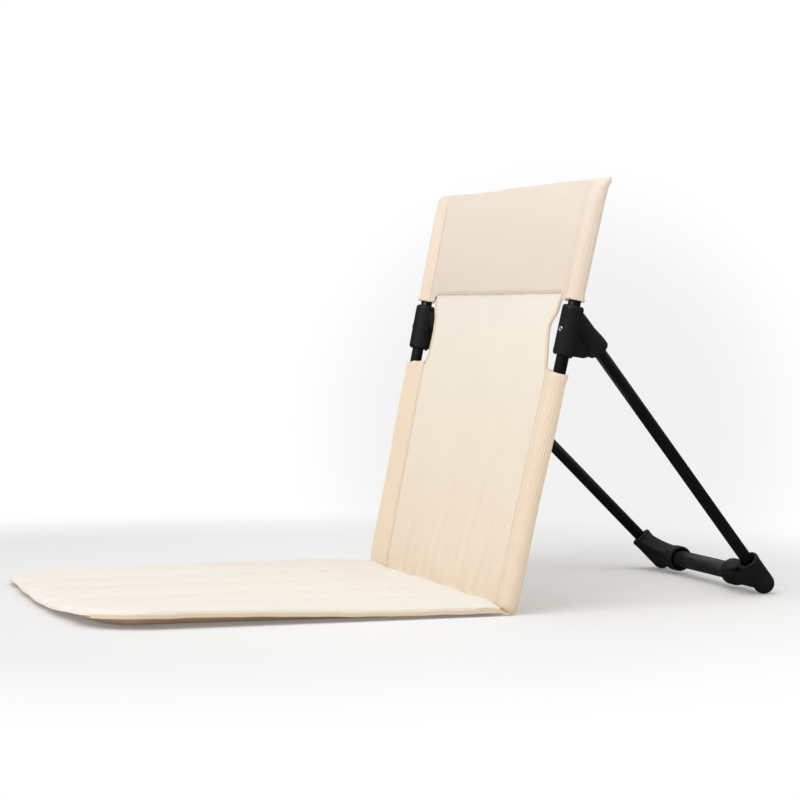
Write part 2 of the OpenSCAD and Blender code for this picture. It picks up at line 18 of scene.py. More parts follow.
import bpy
import numpy as np
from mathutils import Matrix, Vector


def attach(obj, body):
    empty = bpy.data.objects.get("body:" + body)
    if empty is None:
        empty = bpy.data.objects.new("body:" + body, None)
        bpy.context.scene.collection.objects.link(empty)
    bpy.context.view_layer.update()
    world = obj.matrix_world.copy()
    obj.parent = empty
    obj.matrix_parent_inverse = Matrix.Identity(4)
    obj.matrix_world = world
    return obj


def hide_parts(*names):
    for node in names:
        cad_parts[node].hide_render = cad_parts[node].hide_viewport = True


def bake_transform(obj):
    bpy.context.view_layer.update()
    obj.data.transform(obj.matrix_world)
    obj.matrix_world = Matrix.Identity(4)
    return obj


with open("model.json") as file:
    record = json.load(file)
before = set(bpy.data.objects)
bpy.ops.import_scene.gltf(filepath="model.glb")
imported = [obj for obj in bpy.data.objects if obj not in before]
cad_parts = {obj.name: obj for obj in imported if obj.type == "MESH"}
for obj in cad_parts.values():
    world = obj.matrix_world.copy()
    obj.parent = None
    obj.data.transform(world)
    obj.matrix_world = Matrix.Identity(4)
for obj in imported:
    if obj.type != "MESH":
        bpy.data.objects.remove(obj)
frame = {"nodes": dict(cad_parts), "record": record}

LOG = logging.getLogger("chair")
MM = 0.001


@dataclass(frozen=True)
class ChairSizes:
    """Driving sizes of the chair as in its CAD source, in millimetres, with angles in radians."""

    # poles' directions and places
    lean: float = math.radians(12.0)
    splay: float = math.radians(2.44)
    base_half: float = 223.2  # half distance of the poles' axes at their feet
    pole_rise: float = 9.2  # height of the poles' feet
    fold_y: float = -16.6  # hinge line, from the poles' feet
    # pad
    seat_half: float = 233.0
    seat_len: float = 425.0
    front_bow: float = 12.0  # how far the front edge swings back at its ends
    corner_r: float = 70.0
    channels: int = 5
    channel_off: float = 1.66  # from a side edge to the outer channel
    pad_h: float = 14.0
    seam_h: float = 9.5
    rim_z: float = 5.4  # height of the pad's edge
    # back cloth, hood and sleeves
    back_h: float = 438.0
    hem_h: float = 321.0
    pocket_h: float = 313.0
    sleeve_h: float = 241.0
    sleeve_low: float = -7.29
    seam_off: float = 36.0  # from a pole's axis to the cloth's side seam
    sag: float = 5.0  # of the cloth behind the poles' plane
    # tubes and pole hubs
    pole_r: float = 6.5
    pole_len: float = 432.0
    hub_mid: float = 282.7  # height of a hub's middle up its pole
    hub_len: float = 51.6
    hub_r: float = 11.0
    meet_h: float = 300.0  # where a strut's axis meets its pole's
    # struts and foot hubs
    strut_drop: float = math.radians(47.9)
    strut_toe: float = math.radians(14.4)
    strut_top: float = 18.4  # from where the axes meet to the strut's upper end
    cup_len: float = 38.0
    cup_r: float = 11.5
    dome_r: float = 11.55  # of the foot's dome, with its play
    bar_up: float = 9.0  # from the dome's middle up to the crossbar's axis
    # crossbar and its sockets
    bar_r: float = 9.5
    bar_hold: float = 38.0  # length of the crossbar in each socket
    socket_len: float = 70.0
    collar_len: float = 19.0
    collar_r: float = 14.5
    socket_r: float = 12.3

    @property
    def strut_reach(self) -> float:
        """Length along a strut's axis from where it meets the pole's to the dome's middle."""
        meet_z = self.pole_rise + self.meet_h * math.cos(self.splay) * math.cos(self.lean)
        return (meet_z - self.dome_r) / (math.cos(self.strut_toe) * math.sin(self.strut_drop))

    @property
    def crease_y(self) -> float:
        """Place of the poles' feet that puts the chair's middle at zero.

        Returns:
            The place, in millimetres.
        """
        meet_y = self.meet_h * math.cos(self.splay) * math.sin(self.lean)
        foot_y = meet_y + self.strut_reach * math.cos(self.strut_toe) * math.cos(self.strut_drop)
        return (self.seat_len - self.fold_y - foot_y - self.dome_r) / 2

    @property
    def channel_w(self) -> float:
        """Width of one quilted channel of the seat."""
        return 2 * (self.seat_half - self.channel_off) / self.channels

    def seam_x(self, h: np.ndarray | float) -> np.ndarray | float:
        """Half width of the cloth between its side seams at a height up the back."""
        return self.base_half + h * math.tan(self.splay) - self.seam_off

    def pole_x(self, h: np.ndarray | float) -> np.ndarray | float:
        """Distance of a pole's axis from the middle plane at a height up the back."""
        return self.base_half + h * math.tan(self.splay)


SIZES = ChairSizes()


class Slot(Enum):
    """Material slots of the record."""

    SEAT = "seat_canvas"
    UNDER = "underside_cloth"
    TAPE = "binding_tape"
    FOAM = "foam"
    BACK = "back_canvas"
    BAND = "band_canvas"
    TUBE = "black_tube"
    NYLON = "black_nylon"
    EYELET = "eyelet_metal"
    CORD = "elastic_cord"


class Zone(IntEnum):
    """Parts of a row of the hood: round a pole, from there to the seam, and between the seams."""

    ROUND = 0
    ARM = 1
    FLAT = 2


class Body(Enum):
    """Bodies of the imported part."""

    FRAME = "frame"
    SEAT = "seat"
    STRUT_LEFT = "strut_left_body"
    STRUT_RIGHT = "strut_right_body"
    CROSSBAR = "crossbar_body"


# places


@dataclass(frozen=True)
class Placement:
    """A local frame: its origin and its three axes as rows, in the row frame."""

    origin: np.ndarray
    axes: np.ndarray

    def at(self, local: np.ndarray) -> np.ndarray:
        """Row-frame points of local ones.

        Args:
            local: Points with their coordinates along the last axis.

        Returns:
            The same points in the row frame, in millimetres.
        """
        return self.origin + np.asarray(local, float) @ self.axes

    def turn(self, local: np.ndarray) -> np.ndarray:
        """Row-frame directions of local ones."""
        return np.asarray(local, float) @ self.axes

    def mirrored(self, side: int) -> "Placement":
        """This frame, or for side -1 its mirror image about the middle plane."""
        flip = np.array([side, 1.0, 1.0])
        return Placement(self.origin * flip, self.axes * flip)


@dataclass(frozen=True)
class Plane:
    """A plane through a point, with two directions in it that stand square to each other."""

    at: np.ndarray
    along: np.ndarray
    up: np.ndarray

    @property
    def normal(self) -> np.ndarray:
        """Direction across the plane."""
        return unit(np.cross(self.along, self.up))

    def spots(self, flat: Sequence[Sequence[float]] | np.ndarray) -> np.ndarray:
        """Points of the plane, from their distances along its two directions."""
        flat = np.asarray(flat, float)
        return self.at + flat[:, :1] * self.along + flat[:, 1:] * self.up


def back_place() -> Placement:
    """Plane of the poles: x across, y behind it, z up along the back.

    Returns:
        The frame.
    """
    s, c = math.sin(SIZES.lean), math.cos(SIZES.lean)
    axes = np.array([[1, 0, 0], [0, c, -s], [0, s, c]], float)
    return Placement(np.array([0, SIZES.crease_y, SIZES.pole_rise]), axes)


def pole_place(side: int) -> Placement:
    """A pole's own frame, z up along its axis and x outwards.

    Args:
        side: 1 for the left, -1 for the right.

    Returns:
        The frame.
    """
    back = back_place()
    s, c = math.sin(SIZES.splay), math.cos(SIZES.splay)
    axes = np.array([[c, 0, -s], [0, 1, 0], [s, 0, c]]) @ back.axes
    return Placement(back.at(np.array([SIZES.base_half, 0, 0])), axes).mirrored(side)


def strut_place(side: int) -> Placement:
    """A strut's own frame, z from the pole's axis down to the foot.

    Args:
        side: 1 for the left, -1 for the right.

    Returns:
        The frame.
    """
    sd, cd = math.sin(SIZES.strut_drop), math.cos(SIZES.strut_drop)
    st, ct = math.sin(SIZES.strut_toe), math.cos(SIZES.strut_toe)
    z = np.array([-st, ct * cd, -ct * sd])
    x = np.array([ct, st * cd, -st * sd])
    meet = pole_place(1).at(np.array([0, 0, SIZES.meet_h]))
    return Placement(meet, np.array([x, np.cross(z, x), z])).mirrored(side)


def bar_place(side: int) -> Placement:
    """Frame of the crossbar's socket, z from the strut's axis towards the middle.

    Args:
        side: 1 for the left, -1 for the right.

    Returns:
        The frame.
    """
    strut = strut_place(1)
    point = strut.at(np.array([0, 0, SIZES.strut_reach - SIZES.bar_up]))
    axes = np.array([[0, 0, 1], [0, 1, 0], [-1, 0, 0]], float)
    return Placement(point, axes).mirrored(side)


# numbers


def ease(x: np.ndarray | float, low: float, high: float) -> np.ndarray:
    """Smooth step: three times the square less twice the cube of the share between low and high."""
    t = np.clip((np.asarray(x, float) - low) / (high - low), 0, 1)
    return t * t * (3 - 2 * t)


def bump(x: np.ndarray, middle: float, width: float) -> np.ndarray:
    """Bell curve: e to the minus square of the distance over the width."""
    return np.exp(-(((x - middle) / width) ** 2))


def ripples(u: np.ndarray, v: np.ndarray, terms: Iterable[tuple]) -> np.ndarray:
    """Sum of plane sine waves.

    Args:
        u: First coordinate, in millimetres.
        v: Second coordinate, in millimetres.
        terms: Amplitude, waves per metre along u, waves per metre along v, and phase.

    Returns:
        The sum at each place.
    """
    total = np.zeros(np.broadcast(u, v).shape)
    for size, fu, fv, phase in terms:
        total = total + size * np.sin(2 * math.pi * (fu * u + fv * v) * MM + phase)
    return total


def unit(v: np.ndarray) -> np.ndarray:
    """Directions of length one."""
    return v / np.maximum(np.linalg.norm(v, axis=-1, keepdims=True), 1e-9)


def grid_normals(points: np.ndarray, spot: tuple[int, int], way: Sequence[float],
                 wrap: bool = False) -> np.ndarray:
    """Normals of a grid: the cross product of its differences along rows and columns.

    Args:
        points: The grid.
        spot: Row and column of one point.
        way: Direction that the normal at that point goes along rather than against.
        wrap: Whether each row is a closed ring.

    Returns:
        A direction of length one at each point.
    """
    along = np.gradient(points, axis=0)
    if wrap:
        across = (np.roll(points, -1, 1) - np.roll(points, 1, 1)) / 2
    else:
        across = np.gradient(points, axis=1)
    normal = unit(np.cross(along, across))
    return normal if np.dot(normal[spot], way) > 0 else -normal


def between(stops: np.ndarray, run: np.ndarray, values: np.ndarray) -> np.ndarray:
    """Rows of values at stops along a run, in a straight line between the given ones."""
    return np.stack([np.interp(stops, run, column) for column in values.T], -1)


def metres_along(points: np.ndarray, axis: int) -> np.ndarray:
    """Length along one axis of a grid, in metres, starting from zero.

    Args:
        points: The grid.
        axis: 0 down the columns, 1 along the rows.

    Returns:
        The length up to each point.
    """
    step = np.linalg.norm(np.diff(points, axis=axis), axis=-1)
    pad = [(0, 0)] * step.ndim
    pad[axis] = (1, 0)
    return np.pad(np.cumsum(step, axis=axis), pad) * MM


def side_name(side: int) -> str:
    """The word for a side: 1 is the sitter's left and -1 the right."""
    return "left" if side > 0 else "right"


def soft_section(wide: float, high: float, steps: int, wide_power: float, high_power: float,
                 shift: float = 0.0) -> np.ndarray:
    """Section with round corners: half sizes times signed powers of the cosine and the sine.

    Args:
        wide: Half width.
        high: Half height.
        steps: Points round the section.
        wide_power: Power of the cosine; the smaller, the squarer.
        high_power: Power of the sine.
        shift: How far the section lies off to its side.

    Returns:
        Points as distances along side and up.
    """
    t = np.linspace(0, 2 * math.pi, steps, endpoint=False)
    c, s = np.cos(t), np.sin(t)
    across = wide * np.sign(c) * np.abs(c) ** wide_power + shift
    return np.stack([across, high * np.sign(s) * np.abs(s) ** high_power], -1)


# meshes


class MeshMaker:
    """Collects quads and caps, and makes one closed object of them."""

    def __init__(self) -> None:
        """Starts with no points and no faces."""
        self.points: list[np.ndarray] = []
        self.faces: list[list[int]] = []
        self.places: list[np.ndarray] = []
        self.slots: list[int] = []
        self.count = 0

    def add_points(self, points: np.ndarray) -> int:
        """Adds points and gives the number of the first one.

        Args:
            points: Points along the last axis.

        Returns:
            The number of the first.
        """
        first = self.count
        flat = np.asarray(points, float).reshape(-1, 3)
        self.points.append(flat)
        self.count += len(flat)
        return first

    def add_quads(self, quads: np.ndarray, places: np.ndarray, slot: int = 0) -> None:
        """Adds quads with the texture place of each corner.

        Args:
            quads: Point numbers, four a face.
            places: Texture places in metres, in the same order.
            slot: Number of the material.
        """
        quads = quads.reshape(-1, 4)
        self.faces.extend(quads.tolist())
        self.places.append(places.reshape(-1, 2))
        self.slots.extend([slot] * len(quads))

    def paint(self, slots: np.ndarray) -> None:
        """Gives the first faces the materials whose numbers an array holds."""
        flat = np.asarray(slots, int).ravel().tolist()
        self.slots[:len(flat)] = flat

    def add_cap(self, ring: Sequence[int], slot: int = 0) -> None:
        """Adds one flat face over a ring of points.

        Args:
            ring: Numbers of the points.
            slot: Number of the material.
        """
        self.faces.append([int(i) for i in ring])
        self.places.append(np.zeros((len(ring), 2)))
        self.slots.append(slot)

    def grid(self, first: int, rows: int, cols: int, texture: np.ndarray, wrap: bool = False,
             wrap_rows: bool = False, flip: bool = False, slot: int = 0) -> None:
        """Adds the quads of a grid of points that are already there.

        Args:
            first: Number of the grid's first point.
            rows: Rows of points.
            cols: Points in a row.
            texture: Places in metres, with one more row or column where the grid is closed.
            wrap: Whether each row is a closed ring.
            wrap_rows: Whether the last row joins the first.
            flip: Whether the faces look the other way.
            slot: Number of the material.
        """
        r = np.arange(rows if wrap_rows else rows - 1)[:, None]
        c = np.arange(cols if wrap else cols - 1)[None, :]
        corners = [(r, c), (r, c + 1), (r + 1, c + 1), (r + 1, c)]
        if flip:
            corners.reverse()
        full = [np.broadcast_arrays(a, b) for a, b in corners]
        quads = np.stack([first + (a % rows) * cols + b % cols for a, b in full], -1)
        self.add_quads(quads, np.stack([texture[a, b] for a, b in full], -2), slot)

    def shell(self, outer: np.ndarray, inner: np.ndarray, wrap: bool = False, slot: int = 0,
              texture: np.ndarray | None = None) -> None:
        """Adds a closed sheet between two grids of the same shape.

        Args:
            outer: Grid of the face that is seen most.
            inner: Grid of the other face.
            wrap: Whether each row is a closed ring.
            slot: Number of the material.
            texture: Places in metres; found from the outer grid if left out.
        """
        rows, cols = outer.shape[:2]
        if texture is None:
            texture = grid_texture(outer, wrap)
        a = self.add_points(outer)
        b = self.add_points(inner)
        self.grid(a, rows, cols, texture, wrap=wrap, slot=slot)
        self.grid(b, rows, cols, texture, wrap=wrap, flip=True, slot=slot)
        c = np.arange(cols if wrap else cols - 1)
        n = (c + 1) % cols
        for row, turn in ((0, False), (rows - 1, True)):
            k = row * cols
            rim = np.stack([a + k + n, a + k + c, b + k + c, b + k + n], -1)
            place = np.stack([texture[row, c + 1], texture[row, c]] * 2, 1)[:, [0, 1, 3, 2]]
            self.add_quads(rim[:, ::-1] if turn else rim, place, slot)
        if not wrap:
            r = np.arange(rows - 1) * cols
            for col, turn in ((0, False), (cols - 1, True)):
                rim = np.stack([a + r + col, a + r + cols + col, b + r + cols + col, b + r + col], -1)
                place = np.stack([texture[:-1, col], texture[1:, col]] * 2, 1)[:, [0, 1, 3, 2]]
                self.add_quads(rim[:, ::-1] if turn else rim, place, slot)

    def ring_solid(self, points: np.ndarray, slot: int = 0, closed: bool = False) -> None:
        """Adds a solid from rows that are closed rings.

        Args:
            points: Grid whose rows are rings.
            slot: Number of the material.
            closed: Whether the last ring joins the first; otherwise both ends are capped.
        """
        rows, cols = points.shape[:2]
        texture = grid_texture(points, True, closed)
        first = self.add_points(points)
        self.grid(first, rows, cols, texture, wrap=True, wrap_rows=closed, slot=slot)
        if not closed:
            self.add_cap(range(first + cols - 1, first - 1, -1), slot)
            last = first + (rows - 1) * cols
            self.add_cap(range(last, last + cols), slot)

    def close_ring(self, first: int, cols: int, texture: np.ndarray, flip: bool = False) -> None:
        """Closes a flattened ring by faces that join each point to the one across from it.

        Args:
            first: Number of the ring's first point.
            cols: Points in the ring, an even number.
            texture: Places in metres of the ring's points.
            flip: Whether the faces look the other way.
        """
        middle = cols // 2
        j = np.arange(1, middle - 1)
        quads = np.stack([j, j + 1, cols - 1 - j, cols - j], -1)
        ends = np.array([[0, 1, cols - 1], [middle - 1, middle, middle + 1]])
        for faces in (quads, ends):
            turned = faces[:, ::-1] if flip else faces
            self.faces.extend((first + turned).tolist())
            self.places.append(texture[np.minimum(turned, cols - turned)].reshape(-1, 2))
            self.slots.extend([0] * len(turned))

    def sweep(self, path: np.ndarray, section: np.ndarray, sides: np.ndarray, ups: np.ndarray,
              scale: np.ndarray | None = None, slot: int = 0, closed: bool = False) -> None:
        """Adds a section swept along a path.

        Args:
            path: Points of the path.
            section: Points of the section, as distances along side and up.
            sides: Side direction at each point of the path.
            ups: Up direction at each point of the path.
            scale: Factor of the section along side and up at each point of the path.
            slot: Number of the material.
            closed: Whether the path is a closed loop.
        """
        k = np.ones((len(path), 2)) if scale is None else scale
        grid = (path[:, None]
                + (k[:, :1] * section[None, :, 0])[..., None] * sides[:, None]
                + (k[:, 1:] * section[None, :, 1])[..., None] * ups[:, None])
        self.ring_solid(grid, slot, closed)

    def revolve(self, place: Placement, profile: Sequence[tuple], closed: bool = False,
                steps: int = 64, slot: int = 0) -> None:
        """Adds a turned solid.

        Args:
            place: Frame whose z is the axis.
            profile: Radius and place along the axis of each ring.
            closed: Whether the profile is a loop, as of a sleeve with a bore.
            steps: Points round the axis.
            slot: Number of the material.
        """
        rings = np.array(profile, float)
        t = np.linspace(0, 2 * math.pi, steps, endpoint=False)
        r, z = rings[:, :1], rings[:, 1:]
        local = np.stack([r * np.cos(t), r * np.sin(t), np.broadcast_to(z, (len(rings), steps))], -1)
        self.ring_solid(place.at(local), slot, closed)

    def stamps(self, centres: np.ndarray, along: np.ndarray, normal: np.ndarray, length: float,
               radius: float, slot: int = 0) -> None:
        """Adds a small rounded thread at each centre.

        Args:
            centres: Middles of the threads.
            along: Direction of each.
            normal: Direction away from the cloth.
            length: Length of a thread.
            radius: Radius of a thread.
            slot: Number of the material.
        """
        spots = np.array([(-0.5, 0.35), (-0.38, 0.95), (0, 1.1), (0.38, 0.95), (0.5, 0.35)])
        t = np.linspace(0, 2 * math.pi, 6, endpoint=False)
        across = unit(np.cross(normal, along))
        for c, a, n, s in zip(centres, along, normal, across):
            ring = spots[:, 1, None] * radius
            grid = (c + (spots[:, :1] * length)[..., None] * a
                    + (ring * np.cos(t))[..., None] * s + (ring * np.sin(t))[..., None] * n)
            self.ring_solid(grid, slot)

    def turned_outwards(self, points: np.ndarray) -> bool:
        """Whether the signed volume of the faces, fanned into triangles, is positive.

        Args:
            points: All points.

        Returns:
            True where the faces look outwards.
        """
        total = 0.0
        by_length: dict[int, list] = {}
        for f in self.faces:
            by_length.setdefault(len(f), []).append(f)
        for n, faces in by_length.items():
            p = points[np.array(faces)]
            for k in range(1, n - 1):
                total += float(np.sum(p[:, 0] * np.cross(p[:, k], p[:, k + 1])))
        return total > 0

    def make(self, name: str, finishes: Sequence["Finish"]) -> bpy.types.Object:
        """Makes the object, closed and with its faces outwards.

        Args:
            name: Name of the piece.
            finishes: Finishes in the order of the slot numbers.

        Returns:
            The new object, at the origin.
        """
        points = np.concatenate(self.points) * MM
        places = np.concatenate(self.places)
        faces = self.faces
        if not self.turned_outwards(points):
            starts = np.cumsum([0] + [len(f) for f in faces])
            order = np.concatenate([np.arange(b - 1, a - 1, -1) for a, b in zip(starts, starts[1:])])
            places = places[order]
            faces = [f[::-1] for f in faces]
        mesh = bpy.data.meshes.new(name)
        mesh.from_pydata(points.tolist(), [], faces)
        layer = mesh.uv_layers.new(name="cloth")
        layer.data.foreach_set("uv", places.astype(np.float32).ravel())
        mesh.polygons.foreach_set("use_smooth", np.ones(len(faces), bool))
        mesh.polygons.foreach_set("material_index", np.array(self.slots, np.int32))
        for finish in finishes:
            mesh.materials.append(finish.material())
        mesh.update()
        obj = bpy.data.objects.new(name, mesh)
        bpy.context.scene.collection.objects.link(obj)
        return obj


def grid_texture(points: np.ndarray, wrap: bool = False, wrap_rows: bool = False) -> np.ndarray:
    """Texture places of a grid: the mean length along its columns and along its rows, in metres.

    Args:
        points: The grid.
        wrap: Whether each row is a closed ring.
        wrap_rows: Whether the last row joins the first.

    Returns:
        Places, with one more row or column where the grid is closed.
    """
    full = points
    if wrap:
        full = np.concatenate([full, full[:, :1]], 1)
    if wrap_rows:
        full = np.concatenate([full, full[:1]], 0)
    u = metres_along(full, 1).mean(0)
    v = metres_along(full, 0).mean(1)
    return np.stack(np.broadcast_arrays(u[None, :], v[:, None]), -1)


def fused(obj: bpy.types.Object, voxel: float, rounds: int) -> bpy.types.Object:
    """Joins overlapping closed solids of one mesh into a single smooth skin.

    Args:
        obj: Object whose mesh is replaced.
        voxel: Size of the grid of the new skin, in millimetres.
        rounds: Rounds of smoothing.

    Returns:
        The same object.
    """
    remesh = obj.modifiers.new("skin", "REMESH")
    remesh.mode = "VOXEL"
    remesh.voxel_size = voxel * MM
    remesh.use_smooth_shade = True
    soften = obj.modifiers.new("soften", "SMOOTH")
    soften.factor = 0.5
    soften.iterations = rounds
    graph = bpy.context.evaluated_depsgraph_get()
    mesh = bpy.data.meshes.new_from_object(obj.evaluated_get(graph))
    old = obj.data
    obj.modifiers.clear()
    obj.data = mesh
    if not mesh.materials:
        for material in old.materials:
            mesh.materials.append(material)
    mesh.polygons.foreach_set("use_smooth", np.ones(len(mesh.polygons), bool))
    bpy.data.meshes.remove(old)
    mesh.name = obj.name
    return obj


# finishes


class Graph:
    """A node tree with short calls to add nodes to it."""

    tree: bpy.types.NodeTree

    def add(self, kind: str, inputs: dict | None = None, **settings) -> bpy.types.Node:
        """Adds a node.

        Args:
            kind: Its type.
            inputs: Values or output sockets for its inputs, by name or number.
            settings: Properties of the node.

        Returns:
            The node.
        """
        node = self.tree.nodes.new(kind)
        for key, value in settings.items():
            setattr(node, key, value)
        for key, value in (inputs or {}).items():
            self.put(node.inputs[key], value)
        return node

    def put(self, socket: bpy.types.NodeSocket, value) -> None:
        """Sets an input to a value or links an output to it.

        Args:
            socket: The input.
            value: A value or an output.
        """
        if isinstance(value, bpy.types.NodeSocket):
            self.tree.links.new(value, socket)
        else:
            socket.default_value = value

    def math(self, operation: str, a, b=0.0) -> bpy.types.NodeSocket:
        """Adds a calculation of one or two values."""
        return self.add("ShaderNodeMath", {0: a, 1: b}, operation=operation).outputs[0]

    def weighted(self, terms: Iterable[tuple]) -> bpy.types.NodeSocket:
        """Adds up values times factors.

        Args:
            terms: Pairs of a value and its factor.

        Returns:
            The sum.
        """
        total = 0.0
        for value, factor in terms:
            total = self.math("ADD", self.math("MULTIPLY", value, factor), total)
        return total

    def noise(self, place, scale: float, detail: float = 2.0) -> bpy.types.NodeSocket:
        """Adds a noise pattern."""
        inputs = {"Vector": place, "Scale": scale, "Detail": detail}
        return self.add("ShaderNodeTexNoise", inputs).outputs[0]

    def relief(self, height, strength: float, depth: float) -> bpy.types.NodeSocket:
        """Turns heights into relief that is some metres deep."""
        inputs = {"Strength": strength, "Distance": depth, "Height": height}
        return self.add("ShaderNodeBump", inputs).outputs[0]

    def blend(self, share, a: Sequence[float], b: Sequence[float]) -> bpy.types.NodeSocket:
        """Mixes two colours.

        Args:
            share: Share of the second colour.
            a: First colour.
            b: Second colour.

        Returns:
            The mixed colour.
        """
        node = self.add("ShaderNodeMix", data_type="RGBA")
        self.put(node.inputs[0], share)
        self.put(node.inputs[6], a)
        self.put(node.inputs[7], b)
        return node.outputs[2]

    def scaled(self, place, factors: Sequence[float]) -> bpy.types.NodeSocket:
        """Stretches a coordinate."""
        return self.add("ShaderNodeMapping", {"Vector": place, "Scale": factors}).outputs[0]


class NodeGraph(Graph):
    """The nodes of a new material."""

    def __init__(self, name: str) -> None:
        """Makes the material and keeps its tree and its surface shader.

        Args:
            name: Name of the material.
        """
        self.material = bpy.data.materials.new(name)
        self.material.use_nodes = True
        self.tree = self.material.node_tree
        self.shader = self.tree.nodes["Principled BSDF"]

    def surface(self, values: dict) -> None:
        """Sets or links inputs of the surface shader, by name."""
        for name, value in values.items():
            self.put(self.shader.inputs[name], value)


class WorldGraph(Graph):
    """The nodes of a new world."""

    def __init__(self, name: str) -> None:
        """Makes the world and keeps its tree.

        Args:
            name: Name of the world.
        """
        self.world = bpy.data.worlds.new(name)
        self.world.use_nodes = True
        self.tree = self.world.node_tree


@dataclass(frozen=True)
class Finish:
    """Name and colour of a finish; each kind builds its own nodes once."""

    name: str
    color: tuple[float, float, float]

    def material(self) -> bpy.types.Material:
        """The material of this finish, made at its first use.

        Returns:
            The material.
        """
        made = bpy.data.materials.get(self.name)
        if made is None:
            graph = NodeGraph(self.name)
            self.build(graph)
            made = graph.material
        return made

    def build(self, graph: NodeGraph) -> None:
        """Adds the finish's own nodes."""
        graph.surface({"Base Color": (*self.color, 1.0)})


@dataclass(frozen=True)
class ClothFinish(Finish):
    """Plain weave with slubs, fine streaks along the weft and faint cloudy tone."""

    pitch: float = 0.0009  # of the threads, in metres
    depth: float = 0.00022  # of the relief, in metres
    streak: float = 0.15  # weight of slubs and streaks in the tone
    cloud: float = 0.06  # weight of the cloudy tone
    uses_places: bool = True  # rather than the object's own coordinates
    sheen: float = 0.12
    # the top colour is painted light: the cloth is drawn lighter with height, where more light falls
    # on it and shines through it
    top: tuple[float, float, float] | None = None  # colour at the chair's top

    def build(self, graph: NodeGraph) -> None:
        """Weave height is the product of two sines; slubs and streaks are stretched noise.

        Where the finish has a top colour, the tone drifts to it in a straight line with height:
        painted light, lighter higher up where more light falls on and shines through the cloth.

        Args:
            graph: Tree that gets the nodes.
        """
        source = graph.add("ShaderNodeTexCoord")
        place = source.outputs["UV" if self.uses_places else "Object"]
        split = graph.add("ShaderNodeSeparateXYZ", {0: place})
        turns = math.pi / self.pitch
        warp = graph.math("SINE", graph.math("MULTIPLY", split.outputs[0], turns))
        weft = graph.math("SINE", graph.math("MULTIPLY", split.outputs[1], turns))
        weave = graph.math("MULTIPLY", warp, weft)
        slubs = graph.noise(graph.scaled(place, (42, 620, 60)), 1.0, 3.0)
        threads = graph.noise(graph.scaled(place, (1100, 60, 60)), 1.0, 2.0)
        clouds = graph.noise(place, 14.0, 3.0)
        specks = graph.noise(place, 900.0, 2.0)
        tone = graph.weighted([(slubs, self.streak), (threads, self.streak * 0.5),
                               (clouds, self.cloud * 2), (weave, 0.02), (specks, 0.03)])
        middle = self.streak * 0.75 + self.cloud + 0.015
        share = graph.math("ADD", graph.math("SUBTRACT", tone, middle), 0.5)
        # painted light: the colour drifts with height towards the lighter top colour
        high = graph.add("ShaderNodeSeparateXYZ", {0: source.outputs["Object"]}).outputs[2]
        inputs = {"Value": high, "From Min": 0.02, "From Max": 0.43}
        rise = graph.add("ShaderNodeMapRange", inputs).outputs[0]
        ends = []
        for factor in ((0.80, 0.765, 0.71), (1.13, 1.13, 1.13)):
            pair = [(*(min(0.98, c * k) for c, k in zip(color, factor)), 1.0)
                    for color in (self.color, self.top or self.color)]
            ends.append(graph.blend(rise, *pair))
        height = graph.weighted([(weave, 0.5), (slubs, 1.0), (threads, 1.0)])
        graph.surface({"Base Color": graph.blend(share, *ends), "Roughness": 0.92,
                       "Sheen Weight": self.sheen, "Specular IOR Level": 0.2,
                       "Normal": graph.relief(height, 0.55, self.depth)})


@dataclass(frozen=True)
class HardFinish(Finish):
    """Paint, moulded nylon or plated metal, with fine grain and slight changes of gloss."""

    gloss: float = 0.4  # mean roughness: the lower, the glossier
    grain: float = 700.0  # scale of the noise
    depth: float = 0.00004  # of the grain's relief, in metres
    metal: float = 0.0
    shine: float = 0.5  # strength of reflections

    def build(self, graph: NodeGraph) -> None:
        """Grain is fine noise as relief; gloss drifts with broad noise.

        Args:
            graph: Tree that gets the nodes.
        """
        place = graph.add("ShaderNodeTexCoord").outputs["Object"]
        fine = graph.noise(place, self.grain, 2.0)
        broad = graph.noise(place, 40.0, 3.0)
        light = tuple(c * 1.35 + 0.0005 for c in self.color)
        rough = graph.math("ADD", graph.math("MULTIPLY", broad, 0.14), self.gloss - 0.07)
        graph.surface({"Base Color": graph.blend(broad, (*self.color, 1), (*light, 1)),
                       "Roughness": rough, "Metallic": self.metal,
                       "Specular IOR Level": self.shine,
                       "Normal": graph.relief(fine, 0.5, self.depth)})


